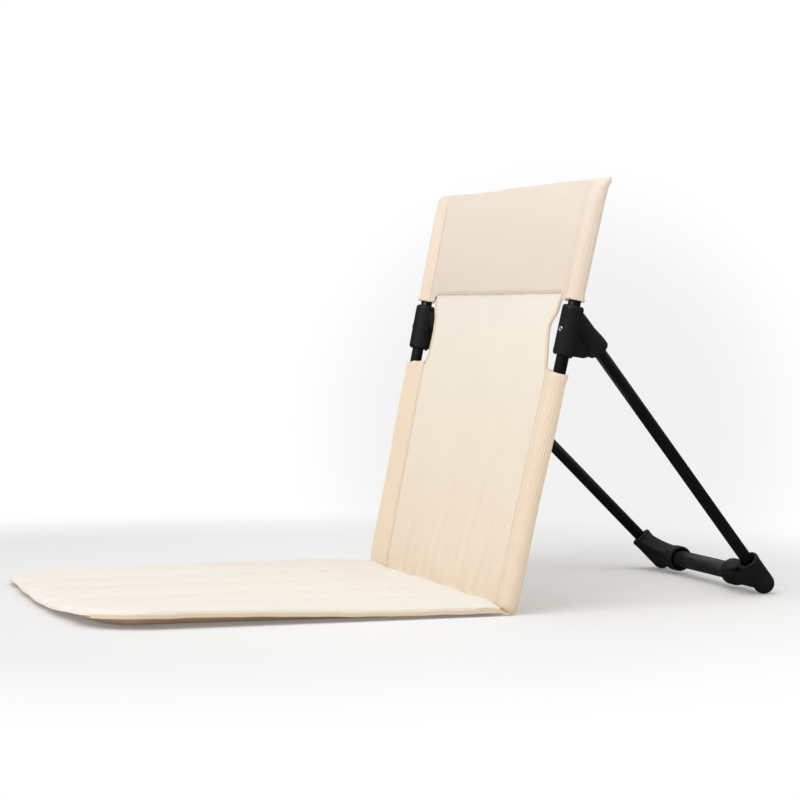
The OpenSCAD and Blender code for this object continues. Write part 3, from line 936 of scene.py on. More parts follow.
class Look:
    """Every finish of the chair."""

    SEAT = ClothFinish("seat_canvas", (0.93, 0.862, 0.81), cloud=0.03)
    # BACK, HOOD and POCKET carry painted light: their top colours make the cloth lighter with height
    BACK = ClothFinish("back_canvas", (0.872, 0.757, 0.622), cloud=0.09,
                       top=(0.91, 0.873, 0.81))
    HOOD = ClothFinish("hood_canvas", (0.56, 0.46, 0.36), top=(0.85, 0.755, 0.67))
    BAND = ClothFinish("band_canvas", (0.875, 0.735, 0.585))
    WELT = ClothFinish("welt_canvas", (0.90, 0.66, 0.45))
    POCKET = ClothFinish("pocket_canvas", (0.77, 0.61, 0.43), top=(0.865, 0.75, 0.66))
    TAPE = ClothFinish("binding_tape", (0.84, 0.69, 0.53), pitch=0.0006)
    THREAD = ClothFinish("sewing_thread", (0.70, 0.54, 0.37), pitch=0.0004)
    PALE_THREAD = ClothFinish("seat_thread", (0.86, 0.77, 0.66), pitch=0.0004)
    # underside cloth darkened further as painted shade, for the brown shadow under the pad's lifted
    # edge
    UNDER = ClothFinish("underside_cloth", (0.46, 0.32, 0.21))
    TUBE = HardFinish("black_tube", (0.0045, 0.0045, 0.0047), gloss=0.20, depth=0.0,
                      shine=0.35)
    BAR = HardFinish("black_crossbar", (0.017, 0.017, 0.0175), gloss=0.26, depth=0.0,
                     shine=0.45)
    NYLON = HardFinish("black_nylon", (0.010, 0.010, 0.0105), gloss=0.46, shine=0.22)
    EYELET = HardFinish("eyelet_metal", (0.80, 0.80, 0.82), gloss=0.25, metal=1.0)
    FOAM = HardFinish("foam", (0.80, 0.76, 0.60), gloss=0.9, grain=500.0, depth=0.0004)
    CORD = ClothFinish("elastic_cord", (0.78, 0.76, 0.70), pitch=0.0008, uses_places=False)


# pieces


@dataclass
class Piece:
    """A made object with what it rides on and the CAD nodes that it stands for."""

    obj: bpy.types.Object
    slot: Slot
    replaces: tuple[str, ...] = ()

    def ride(self, body: Body) -> "Piece":
        """Ties the piece to a body.

        Args:
            body: The body that carries it.

        Returns:
            This piece.
        """
        self.settle()
        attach(self.obj, body.value)
        return self

    def blend(self, a: Body, b: Body, start: Sequence[float], end: Sequence[float]) -> "Piece":
        """Hides the nodes that the piece stands for and bakes its transform into its mesh; it is
        neither bent nor tied to a body.

        Args:
            a: Body at the start; not used.
            b: Body at the end; not used.
            start: Where a bend would start, in millimetres; not used.
            end: Where it would end, in millimetres; not used.

        Returns:
            This piece.
        """
        self.settle()
        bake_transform(self.obj)
        return self

    def settle(self) -> None:
        """Hides the CAD nodes that the piece stands for, and logs them."""
        if self.replaces:
            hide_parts(*self.replaces)
        LOG.info("%s stands for %s", self.obj.name, ", ".join(self.replaces) or "itself")


@dataclass(frozen=True)
class SeatPad:
    """The quilted pad on the floor, with its edge tape and sewing; sizes in millimetres."""

    edge: float = 9.0  # width of the rounded border
    inset: float = 1.2  # of the cover's edge inside the tape's outer face
    far_corner_r: float = 38.0
    far_bow: float = 4.0
    scallop: float = 2.2  # how far the front edge swings in at a seam
    notch_d: float = 4.2  # depth of the nick at each seam's end
    corner_lift: float = 7.0
    near_lift: float = 2.4
    far_lift: float = 3.5
    seam_rise: float = 1.6  # by which the foam lifts the seams
    swell_w: float = 40.0  # distance from the edge over which a channel swells
    foam_gap: float = 7.0  # from a seam to the foam
    foam_rear: float = 13.0  # from the hinge line to the foam
    foam_front: float = 22.0  # from the front edge to the foam
    foam_round: float = 3.0
    foam_under: float = 1.8  # of the foam's top below the cover's
    tape_half: tuple[float, float] = (0.95, 2.2)  # half thickness and half height
    tape_tuck: float = 7.5  # how far the tape runs in under the front
    stitch: float = 2.5
    stitch_step: float = 3.6
    thread_r: float = 0.24

    def lift(self, x: np.ndarray, y: np.ndarray) -> np.ndarray:
        """How far the pad rises off the floor.

        Products of smooth steps and a bell curve: most at the near front corner, less in the
        middle of the near side and along the far side.

        Args:
            x: Distance from the middle plane.
            y: Distance from the poles' feet, to the front negative.

        Returns:
            The height at each place.
        """
        front = ease(-y, 120, 400)
        near = ease(x, 40, SIZES.seat_half)
        middle = bump(y, -240, 130)
        far = ease(-x, 185, SIZES.seat_half) * ease(-y, 20, 70) * (1 - ease(-y, 360, 430))
        return near * (self.corner_lift * front + self.near_lift * middle) + self.far_lift * far

    def front(self, x: np.ndarray, inset: float = 0.0) -> np.ndarray:
        """Front edge of the pad: a bow with round corners, notched at each seam.

        Args:
            x: Distance from the middle plane.
            inset: Distance inside the outer edge.

        Returns:
            The edge's place along y.
        """
        half = SIZES.seat_half - inset
        r = np.where(x > 0, SIZES.corner_r, self.far_corner_r) - inset
        d = np.clip(np.abs(x) - (half - r), 0, None)
        share = np.minimum(1, np.abs(x) / (SIZES.seat_half - SIZES.corner_r))
        bow = np.where(x > 0, SIZES.front_bow, self.far_bow) * share ** 2
        round_part = np.sqrt(np.clip(r * r - d * d, 0, None))
        plain = SIZES.fold_y - (SIZES.seat_len - inset - bow - r + round_part)
        return plain - self.scallop * (self.puff(x) - 0.45)

    def puff(self, x: np.ndarray) -> np.ndarray:
        """Crown of a channel: the root of a half sine across it."""
        c = x / SIZES.channel_w + SIZES.channels / 2
        return np.sqrt(np.abs(np.sin(math.pi * c)))

    def height(self, x: np.ndarray, y: np.ndarray, d: np.ndarray) -> np.ndarray:
        """Height of the quilted top at a distance from its open edges, without the border's round.

        A channel's crown grows with that distance, and low waves are added to it.

        Args:
            x: Distance from the middle plane.
            y: Distance from the poles' feet, to the front negative.
            d: Distance from the open edges.

        Returns:
            The height at each place.
        """
        inside = ease(d, 4, self.swell_w)
        low = SIZES.seam_h + self.seam_rise
        crown = low + (SIZES.pad_h - low) * self.puff(x) * (0.35 + 0.65 * inside)
        drift = ripples(x, y, [(0.45, 3, 2.1, 0.4), (0.35, -4.4, 3.6, 2.0), (0.25, 1.2, 8.3, 1.0)])
        return crown + drift * inside

    def under(self, d: np.ndarray, lift: np.ndarray) -> np.ndarray:
        """Height of the pad's underside at a distance from its edge: a smooth step down."""
        fall = ease(np.maximum(d, 0) + 6, 0, 34)
        return (SIZES.rim_z + lift) * (1 - fall) + (0.35 + 0.25 * lift) * fall

    def seams(self) -> list[float]:
        """Places of the quilting seams."""
        return [(i - SIZES.channels / 2) * SIZES.channel_w for i in range(1, SIZES.channels)]

    def near_seams(self, x: np.ndarray, width: float) -> np.ndarray:
        """Sum of bell curves about the quilting seams."""
        return sum(bump(x, seam, width) for seam in self.seams())

    def places(self, low: float, high: float, count: int) -> np.ndarray:
        """Places from low to high, even in the middle and closing up at both ends.

        Args:
            low: First place.
            high: Last place.
            count: Places in the even middle.

        Returns:
            The places.
        """
        turn = np.radians(np.linspace(0, 90, 9))[1:-1]
        edge = self.edge * (1 - np.cos(turn))
        middle = np.linspace(low + self.edge, high - self.edge, count)
        return np.concatenate([[low], low + edge, middle, high - edge[::-1], [high]])

    def surface(self) -> tuple[np.ndarray, np.ndarray]:
        """Upper and lower grids.

        The upper height is the rim's height, plus a quarter ellipse over the edge zone times the
        channel's crown, plus small puckers that fade away from each seam. The lower one falls
        gently from the rim to the floor, so that the border stands clear.

        Returns:
            Two grids of points in millimetres, the same along their border.
        """
        half = SIZES.seat_half - self.inset
        xs = self.places(-half, half, 176)
        ts = self.places(0, SIZES.seat_len, 146) / SIZES.seat_len
        x = np.broadcast_to(xs[None, :], (len(ts), len(xs)))
        front = self.front(x, self.inset)
        y = SIZES.fold_y + (front - SIZES.fold_y) * ts[:, None]
        straight = SIZES.seat_half - SIZES.corner_r
        turn = np.clip((np.abs(x) - straight) / (SIZES.corner_r + 2), 0, 0.98)
        to_front = (y - front) * np.sqrt(1 - turn ** 2)
        side, rear = half - np.abs(x), SIZES.fold_y - y
        d = np.minimum(np.minimum(side, to_front), rear)
        q = np.clip(d / self.edge, 0, 1)
        wall = np.sqrt(1 - (1 - q) ** 2)
        swell = ease(d, 4, self.swell_w)
        open_side = np.minimum(side, to_front)
        along_seams = ripples(x, y, [(0.30, 9, 92, 0.3), (0.22, -14, 141, 1.9), (0.18, 5, 57, 4.0)])
        round_border = ripples(x + y, x - y, [(0.22, 46, 31, 0.6), (0.18, -61, 77, 2.2)])
        pucker = self.near_seams(x, 11) * along_seams + bump(d, 10, 8) * round_border
        notch = self.near_seams(x, 3.6) * bump(to_front, 4, 9) * self.notch_d
        lift = self.lift(x, y)
        full = self.height(x, y, open_side)
        top = lift + SIZES.rim_z + wall * (full - SIZES.rim_z + pucker * swell - notch)
        low = np.where(d > 0, self.under(d, lift), lift + SIZES.rim_z)
        low = np.minimum(low, top - 0.02)
        upper = np.stack([x, y, top], -1)
        lower = np.stack([x, y, low], -1)
        for grid in (upper, lower):
            grid[..., 1] += SIZES.crease_y
        return upper, lower

    def cover(self) -> Piece:
        """The pad as one closed pillow with a lighter top and a plain underside, whose cloth is
        darkened as painted shade.

        Returns:
            The pad.
        """
        upper, lower = self.surface()
        rows, cols = upper.shape[:2]
        maker = MeshMaker()
        texture = grid_texture(upper)
        a = maker.add_points(upper)
        inside = np.full((rows, cols), -1)
        inside[1:-1, 1:-1] = np.arange((rows - 2) * (cols - 2)).reshape(rows - 2, cols - 2)
        b = maker.add_points(lower[1:-1, 1:-1])
        number = np.where(inside >= 0, b + inside, a + np.arange(rows * cols).reshape(rows, cols))
        maker.grid(a, rows, cols, texture)
        quads = np.stack([number[1:, :-1], number[1:, 1:], number[:-1, 1:], number[:-1, :-1]], -1)
        place = np.stack([texture[1:, :-1], texture[1:, 1:], texture[:-1, 1:], texture[:-1, :-1]], -2)
        # the underside gets the underside cloth, darkened as painted shade
        maker.add_quads(quads, place, 1)
        obj = maker.make("seat_pad", [Look.SEAT, Look.UNDER])
        return Piece(obj, Slot.SEAT, ("seat_cover", "seat_base_cloth"))

    def foam(self, number: int) -> Piece:
        """One foam strip inside a channel, a little thinner than the cover round it.

        Args:
            number: 1 for the far channel, 5 for the near one.

        Returns:
            The strip.
        """
        middle = (number - (SIZES.channels + 1) / 2) * SIZES.channel_w
        half = SIZES.channel_w / 2 - self.foam_gap
        x = middle + np.linspace(-1, 1, 24)[None, :] * half
        share = np.linspace(0, 1, 90)[:, None]
        rear = SIZES.fold_y - self.foam_rear
        y = rear + (self.front(x, self.foam_front) - rear) * share
        x = np.broadcast_to(x, y.shape)
        lift = self.lift(x, y)
        edge = np.minimum(half - np.abs(x - middle), self.foam_round) / self.foam_round
        crown = self.height(x, y, np.full(x.shape, 30.0))
        top = lift + crown - self.foam_under - 1.5 * (1 - edge)
        to_front = self.foam_front + 300 * (1 - share)
        d = np.minimum(np.minimum(SIZES.seat_half - np.abs(x), to_front), SIZES.fold_y - y)
        low = self.under(d - 3, lift) + 1.6
        y = y + SIZES.crease_y
        maker = MeshMaker()
        maker.shell(np.stack([x, y, top], -1), np.stack([x, y, low], -1))
        obj = maker.make(f"foam_strip_{number}", [Look.FOAM])
        return Piece(obj, Slot.FOAM, (f"seat_foam_{number}",))

    def rim(self, inset: float) -> np.ndarray:
        """Path of the pad's edge from the near rear corner round the front to the far one.

        Args:
            inset: Distance inside the outer edge.

        Returns:
            Points of the path.
        """
        half = SIZES.seat_half - inset
        side = np.linspace(SIZES.fold_y, self.front(np.array(half), inset), 150)
        turn = np.linspace(0, math.pi, 420)
        x = half * np.cos(turn)
        front = np.stack([x, self.front(x, inset)], -1)
        left = np.stack([np.full(len(side), half), side], -1)
        right = left[::-1] * [-1, 1]
        flat = np.concatenate([left[:-1], front, right[1:]])
        z = SIZES.rim_z + self.lift(flat[:, 0], flat[:, 1])
        return np.column_stack([flat[:, 0], flat[:, 1] + SIZES.crease_y, z])

    def tape_section(self) -> np.ndarray:
        """Section of the folded edge tape."""
        return soft_section(*self.tape_half, 20, 0.6, 0.5)

    def tape(self) -> Piece:
        """Folded edge tape: full height along both sides and tucked under the rolled front.

        Returns:
            The tape.
        """
        path = self.rim(self.inset)
        run = metres_along(path, 0) / MM
        step = unit(np.gradient(path, axis=0))
        inwards = unit(np.cross(step, [0, 0, 1]))
        y = path[:, 1] - SIZES.crease_y
        tuck = ease(-y, SIZES.seat_len - 10, SIZES.seat_len + 9)
        wave = 0.25 * np.sin(run / 7.3) * np.sin(run / 31.0)
        path = path + inwards * (self.tape_tuck * tuck)[:, None]
        path[:, 2] -= 1.2 * tuck - wave
        scale = np.stack([1 - 0.3 * tuck, 1 - 0.3 * tuck], -1)
        ups = np.broadcast_to([0.0, 0.0, 1.0], path.shape)
        maker = MeshMaker()
        maker.sweep(path, self.tape_section(), -inwards, ups, scale)
        return Piece(maker.make("seat_edge_tape", [Look.TAPE]), Slot.TAPE, ("seat_edge_band",))

    def sewing(self) -> Piece:
        """Stitches along the quilting seams and close to both side edges.

        Returns:
            All threads as one piece.
        """
        upper, _ = self.surface()
        normal = grid_normals(upper, (5, 5), (0, 0, 1))
        maker = MeshMaker()
        xs = upper[0, :, 0]
        for place in (*self.seams(), 5.2 - SIZES.seat_half, SIZES.seat_half - 2.6):
            column = int(np.argmin(np.abs(xs - place)))
            line = upper[:, column] + normal[:, column] * 0.12
            run = metres_along(line, 0) / MM
            stops = np.arange(9, run[-1] - 9, self.stitch_step)
            centres = between(stops, run, line)
            along = unit(np.gradient(centres, axis=0))
            facing = between(stops, run, normal[:, column])
            maker.stamps(centres, along, unit(facing), self.stitch, self.thread_r)
        return Piece(maker.make("seat_sewing", [Look.PALE_THREAD]), Slot.TAPE)


@dataclass(frozen=True)
class BackCloth:
    """The cloth between the poles, its hood, sleeves and bound notches; sizes in millimetres.

    NOTCH holds the listed curve of each notch beside its hub: height and half width.
    """

    NOTCH = {
        1: [(236, 198.5), (241, 193), (247, 190.5), (256, 187.5), (270, 181.5), (282, 178), (290, 179),
            (296, 185), (300, 191), (305, 194), (313, 196), (322, 199), (332, 200)],
        -1: [(236, 198.5), (241, 195), (247, 189), (256, 187), (270, 186), (282, 186.5), (290, 188),
             (296, 190), (300, 193), (305, 197), (313, 199), (322, 200), (332, 200)],
    }

    back: Placement = field(default_factory=back_place)
    pad: SeatPad = field(default_factory=SeatPad)
    seam_cover: float = 1.0  # of the cloth past its side seam
    half_t: float = 0.5  # half the cloth's thickness
    overlap: float = 26.0  # of the cloth on the pad
    pad_top: float = 12.0  # height from which the crease's curve is measured
    top_under_hood: float = 331.0  # height to which the lower cloth runs
    sleeve_r: float = 9.3
    sleeve_end: float = 4.5  # height of the sleeve's rounded end
    hood_r: float = 9.2
    hood_t: float = 0.75  # thickness of the hood's wall
    hood_spread: float = 5.2  # how much wider it is at the top
    stitch: float = 2.3
    thread_r: float = 0.24
    panel_flat: tuple[float, float] = (0.398, 0.393)  # laid flat, in metres, as the next ones
    panel_share: float = 0.965  # of that rectangle, less the notches and the taper
    sleeve_flat: tuple[float, float] = (0.1045, 0.249)
    hood_flat: tuple[float, float] = (1.0, 0.12)

    def edge(self, h: np.ndarray, side: int) -> np.ndarray:
        """Half width of the cloth: the seam line, drawn in along a curve beside the hub.

        Args:
            h: Height up the back.
            side: 1 for the left, -1 for the right.

        Returns:
            The half width at each height.
        """
        table = np.array(self.NOTCH[side], float)
        fine = np.linspace(table[0, 0], table[-1, 0], 200)
        rough = np.interp(fine, table[:, 0], table[:, 1])
        kernel = np.hanning(15) / np.hanning(15).sum()
        soft = np.convolve(np.pad(rough, 7, mode="edge"), kernel, mode="valid")
        inside = np.interp(h, fine, soft)
        plain = SIZES.seam_x(h) + self.seam_cover
        share = ease(h, 234, 240)
        return plain * (1 - share) + inside * share

    def depth(self, x: np.ndarray, h: np.ndarray) -> np.ndarray:
        """How far the cloth lies behind the poles' plane.

        A parabola across times a half sine up the back, plus bell-shaped pleats that fade with
        height by an exponential, plus low waves.

        Args:
            x: Distance from the middle plane.
            h: Height up the back.

        Returns:
            The depth at each place.
        """
        u = np.clip(x / SIZES.seam_x(h), -1, 1)
        v = np.clip(h / SIZES.hem_h, 0, 1)
        sag = SIZES.sag * (1 - u ** 2) * np.sin(math.pi * v)
        up = np.clip(h, 0, None)
        fold = np.zeros(np.broadcast(x, h).shape)
        pleats = ((-139, 7.0, 1.6, 50), (-46, 8.0, 1.5, 80), (-70, 6.0, 0.9, 40), (46, 8.0, 1.8, 100),
                  (22, 6.5, 0.9, 50), (105, 9.0, 1.8, 70), (139, 7.0, 1.3, 45), (168, 6.0, 0.9, 30))
        for place, width, size, fade in pleats:
            drift = place + h * 0.10
            fold = fold + size * bump(x, drift, width + h * 0.05) * np.exp(-up / fade)
        rise = ease(h, -7, 3)
        waves = ripples(x, h, [(0.9, 2.6, 1.4, 0.5), (0.7, -3.8, 2.9, 1.7), (0.5, 6.1, -1.2, 3.1),
                               (0.35, 1.8, 7.0, 0.2)])
        calm = (1 - u ** 4) * ease(h, 0, 60) * (1 - 0.8 * ease(h, 280, 322))
        pinch = ripples(x, h, [(1.0, 31, 4, 0.6), (0.7, -53, 7, 2.0)]) * np.exp(-up / 16)
        return sag + (2.9 * fold + 0.7 * pinch) * rise * (1 - u ** 6) + waves * calm

    def crease_profile(self) -> np.ndarray:
        """Curve from the overlap on the pad over its rear edge and down to the poles' feet.

        Returns:
            Places along y and heights above the pad's top, rounded by a short moving average.
        """
        low_h, fold = SIZES.sleeve_low, SIZES.fold_y
        root_y = low_h * math.sin(SIZES.lean)
        root_z = SIZES.pole_rise + low_h * math.cos(SIZES.lean)
        over = np.array([[fold - self.overlap, -1.0], [fold - 18, 0.15], [fold - 8, 0.5],
                         [fold - 1, -0.2], [fold + 5, -2.6], [-6.0, -6.8], [root_y - 2.0, -8.4],
                         [root_y - 0.6, root_z + 1.6 - self.pad_top]])
        run = np.concatenate([[0], np.cumsum(np.linalg.norm(np.diff(over, axis=0), axis=1))])
        fine = np.linspace(0, run[-1], 46)
        profile = between(fine, run, over)
        kernel = np.array([1, 2, 3, 2, 1]) / 9
        for k in (0, 1):
            profile[2:-2, k] = np.convolve(profile[:, k], kernel, mode="valid")
        return profile

    def panel(self) -> Piece:
        """The lower cloth, from its overlap on the seat through the crease to under the hood.

        Its profile is the crease's curve and then the back's depth; the columns are spread over
        the half width at each height by a sine, closer towards the edges.

        Returns:
            The cloth.
        """
        seat_part = self.crease_profile()
        low_h = SIZES.sleeve_low + 2.0
        hs = low_h + (self.top_under_hood - low_h) * np.linspace(0, 1, 170) ** 1.15
        cols = 200
        s = np.sin(np.linspace(-1, 1, cols) * 1.25) / math.sin(1.25)
        right = self.edge(hs, -1)[:, None]
        left = self.edge(hs, 1)[:, None]
        x = np.where(s < 0, s * right, s * left)
        h = np.broadcast_to(hs[:, None], x.shape)
        upper = self.back.at(np.stack([x, self.depth(x, h), h], -1))
        narrow = ease(seat_part[:, :1], -13.0, seat_part[-1, 0])
        foot_half = SIZES.seam_x(0.0) + self.seam_cover
        half = (SIZES.seat_half - 2.0) * (1 - narrow) + foot_half * narrow
        sx = s * half
        sy = np.broadcast_to(seat_part[:, :1], sx.shape)
        pad = self.pad
        side = SIZES.seat_half - pad.inset - np.abs(sx)
        wall = np.sqrt(1 - (1 - np.clip(side / pad.edge, 0, 1)) ** 2)
        crown = SIZES.rim_z + wall * (pad.height(sx, sy, side) - SIZES.rim_z) + pad.lift(sx, sy)
        on_pad = ease(-sy, 3, 17)
        tuck = ripples(sx, sy, [(0.35, 14, 30, 0.2), (0.25, -27, 20, 1.4)]) * bump(sy, -12, 6)
        z = seat_part[:, 1:] + self.pad_top + on_pad * (crown - self.pad_top) + tuck
        lower = np.stack([sx, sy + SIZES.crease_y, z], -1)
        front = np.concatenate([lower, upper])
        normal = grid_normals(front, (-60, cols // 2), (0, -1, 0))
        maker = MeshMaker()
        maker.shell(front + normal * self.half_t, front - normal * self.half_t)
        rows = np.repeat(np.arange(len(front) - 1), cols - 1)
        maker.paint(np.tile(rows < len(lower) - 3, 2))
        obj = maker.make("back_cloth", [Look.BACK, Look.SEAT])
        return Piece(obj, Slot.BACK, ("back_panel", "crease_tape"))

    def crease_edges(self) -> Piece:
        """Short ends of edge tape that run on from the pad to the foot of each sleeve.

        Returns:
            Both ends as one piece.
        """
        y = np.linspace(SIZES.fold_y - 3.0, -2.0, 24)
        section = self.pad.tape_section()
        fall = ease(y, -14.0, -4.0)
        scale = np.column_stack([np.ones(len(y)), 1 - 0.45 * fall])
        maker = MeshMaker()
        for side in (-1, 1):
            x = np.full(len(y), side * (SIZES.seat_half - self.pad.inset))
            path = np.column_stack([x, y + SIZES.crease_y, SIZES.rim_z - 3.4 * fall])
            sides = np.broadcast_to([float(side), 0.0, 0.0], path.shape)
            ups = np.broadcast_to([0.0, 0.0, 1.0], path.shape)
            maker.sweep(path, section, sides, ups, scale)
        return Piece(maker.make("crease_edges", [Look.TAPE]), Slot.TAPE)

    def ribs(self, angle: np.ndarray, start: float, end: float, count: int,
             size: float) -> np.ndarray:
        """Rows of sewn ribs round a sleeve: a raised sine between two angles.

        Args:
            angle: Angle round the pole.
            start: Where the ribs start.
            end: Where they end.
            count: How many there are.
            size: How far they stand out.

        Returns:
            The height of the ribs.
        """
        share = np.clip((angle - start) / (end - start), 0, 1)
        inside = (angle > start) & (angle < end)
        return size * np.where(inside, np.sin(math.pi * count * share) ** 2, 0.0)

    def sleeve(self, side: int) -> Piece:
        """A lower sleeve: a drop-shaped tube round the pole with a folded mouth and a tucked end.

        Each row goes from the seam along the front, round the pole and back to the seam; the
        ribs are raised sines on the outer side, with a small welt behind them. Wrinkles are
        sine waves that fade towards the pole and the seam.

        Args:
            side: 1 for the left, -1 for the right.

        Returns:
            The sleeve.
        """
        low, high = SIZES.sleeve_low, SIZES.sleeve_h
        end = np.radians(np.linspace(0, 90, 12))
        closed_h = low + self.sleeve_end
        h = np.concatenate([low + self.sleeve_end * (1 - np.cos(end)),
                            np.linspace(closed_h, high, 180)[1:]])
        rows = len(h)
        r = self.sleeve_r + 0.35 * np.sin(h / 23.0) + 0.5 * ease(h, 225, 240)
        close = np.sqrt(1 - (1 - np.clip((h - low) / self.sleeve_end, 0, 1)) ** 2)
        turn = np.linspace(0, math.pi, 90)
        bend = np.linspace(0, 1, 26)
        flat = np.full(len(bend) - 1, math.pi / 2)
        angle = np.concatenate([-flat, turn - math.pi / 2, flat])
        reach = np.concatenate([bend[::-1][:-1], np.zeros(len(turn)), bend[1:]])
        rib = self.ribs(angle, math.radians(-82), math.radians(18), 6, 0.5)
        rib = rib + 0.9 * bump(angle, math.radians(30), math.radians(7))
        rib = rib - 0.5 * ease(angle, math.radians(34), math.radians(46))
        fade = ease(h, low + 2, low + 24) * (1 - 0.5 * ease(h, 232, 240))
        radius = r[:, None] + rib * fade[:, None]
        q = radius * np.cos(angle)
        n = radius * np.sin(angle)
        arm = SIZES.seam_off * reach
        q = q - arm
        n = n * (1 - reach) + np.sign(angle) * 1.05 * reach
        hh = np.broadcast_to(h[:, None], q.shape)
        wrinkle = ripples(q + 60 * (np.sign(angle) > 0), hh, [(0.30, 22, 6, 0.3), (0.25, -9, 17, 1.0),
                                                             (0.2, 31, 28, 2.0)])
        n = n + wrinkle * np.sin(math.pi * reach) * np.sign(n)
        n = n * (0.08 + 0.92 * close[:, None])
        mouth = ease(h, 232.5, 234.5)[:, None] * 0.45
        q = q + mouth * np.cos(angle) * (reach == 0)
        n = n + mouth * np.sign(n)
        slope = ease(hh, 200, 241) * (-2.5 * ease(q, -36, 9) + 0.4 * np.sin(q / 3.1))
        tuck = (1 - ease(hh, low, low + 16)) * np.clip(q + 10, 0, None) * 0.12
        place = pole_place(side)
        outer = place.at(np.stack([q - tuck, n, hh + slope], -1))
        probe = (rows // 2, q.shape[1] // 2)
        normal = grid_normals(outer, probe, outer[probe] - place.at(np.array([0.0, 0.0, 120.0])))
        wall = 0.7 + 0.7 * ease(hh, 232, 234.5) * (reach < 0.98)
        wall = wall * np.clip(np.abs(n) / 1.6, 0.35, 1)
        maker = MeshMaker()
        maker.shell(outer, outer - normal * wall[..., None])
        welt = (np.abs(np.degrees(angle) - 31) < 7)[None, :-1] | (h < low + 5.5)[:-1, None]
        maker.paint(welt)
        name = side_name(side)
        obj = maker.make(f"lower_sleeve_cloth_{name}", [Look.BAND, Look.WELT])
        return Piece(obj, Slot.BAND, (f"lower_sleeve_{name}",))

    def hood_face(self, side: int, face: int, zone: np.ndarray, value: np.ndarray,
                  h: np.ndarray) -> np.ndarray:
        """One face of one half of the hood, from its outer edge to the middle.

        Round the pole it is a quarter ellipse with ribs, then the two faces close in on each
        other up to the seam, and between the seams they lie flat.

        Args:
            side: 1 for the left half and -1 for the right.
            face: 1 for the rear and -1 for the front.
            zone: Part of the row, a Zone at each point.
            value: Angle round the pole, share of the way to the seam, or share of the half width.
            h: Height of each point up the back.

        Returns:
            Points in the frame of the back.
        """
        flat = ease(h, 398, 436)
        mouth = 0.6 * (1 - ease(h, 313, 322)) + 0.9 * bump(h, 315.0, 1.8)
        r_out = self.hood_r + mouth + self.hood_spread * flat
        angle = np.degrees(np.where(zone == Zone.ROUND, value, math.pi / 2))
        turned = angle * face
        tip = ease(h, 434.6 if side > 0 else 431.5, 440.1)
        thick = (self.hood_r + mouth - 1.2 * flat) * np.sqrt(1 - tip ** 2 * 0.985)
        base = 1.45 - 0.35 * tip
        rib = self.ribs(turned, -72, 6, 5, 0.45)
        rib = rib + 0.85 * bump(turned, 16, 6) - 0.5 * ease(turned, 20, 32)
        rib = np.where(zone == Zone.ROUND, rib * (1 - flat), 0)
        q = np.where(zone == Zone.ROUND, (r_out + rib) * np.cos(np.radians(angle)), 0)
        q = np.where(zone == Zone.ARM, -SIZES.seam_off * value, q)
        steep = np.minimum(1, 2.5 * value)
        gentle = ease(value, -0.15, 1.0) - ease(0.0, -0.15, 1.0)
        fall = gentle if side > 0 else steep
        t = np.where(zone == Zone.ROUND, (thick + rib) * np.sin(np.radians(angle)), thick)
        t = np.where(zone == Zone.ARM, thick * (1 - fall) + base * fall, t)
        t = np.where((zone == Zone.ARM) & (side < 0), t - 0.45 * bump(value, 0.4, 0.05), t)
        t = np.where(zone == Zone.FLAT, base, t)
        x = np.where(zone == Zone.FLAT, SIZES.seam_x(h) * value, SIZES.pole_x(h) + q)
        return self.hood_points(side * x, face * t, h, zone, side)

    def hood(self) -> Piece:
        """The doubled cloth that slips over both poles from above.

        Each row is a closed ring: along the front from one outer edge to the other and back
        along the rear. It flattens and widens towards the top, and its hem steps down at the
        pockets.

        Returns:
            The hood.
        """
        rows = 96
        top_h = SIZES.back_h + 2.0
        turn = np.linspace(0, math.pi / 2, 26)
        reach = np.linspace(0, 1, 29)[1:]
        middle = np.linspace(1, 0, 60)[1:]
        zone = np.repeat([Zone.ROUND, Zone.ARM, Zone.FLAT], [len(turn), len(reach), len(middle)])
        value = np.concatenate([turn, reach, middle])
        share = np.linspace(0, 1, rows) ** 0.9
        start = np.where(zone == Zone.FLAT, SIZES.hem_h, SIZES.pocket_h)
        start = np.where((zone == Zone.ARM) & (value > 0.86), SIZES.hem_h - 2.0, start)
        h = start[None, :] + (top_h - start[None, :]) * share[:, None]
        faces = [self.hood_face(side, face, zone, value, h)
                 for side, face in ((1, -1), (1, 1), (-1, -1), (-1, 1))]
        front_l, back_l, front_r, back_r = faces
        ring = np.concatenate([front_l, front_r[:, -2::-1], back_r[:, 1:], back_l[:, -2:0:-1]], 1)
        half = front_l.shape[1]
        outer = self.back.at(ring)
        normal = grid_normals(outer, (40, half), (0, -1, 0), wrap=True)
        inner = outer - normal * self.hood_t
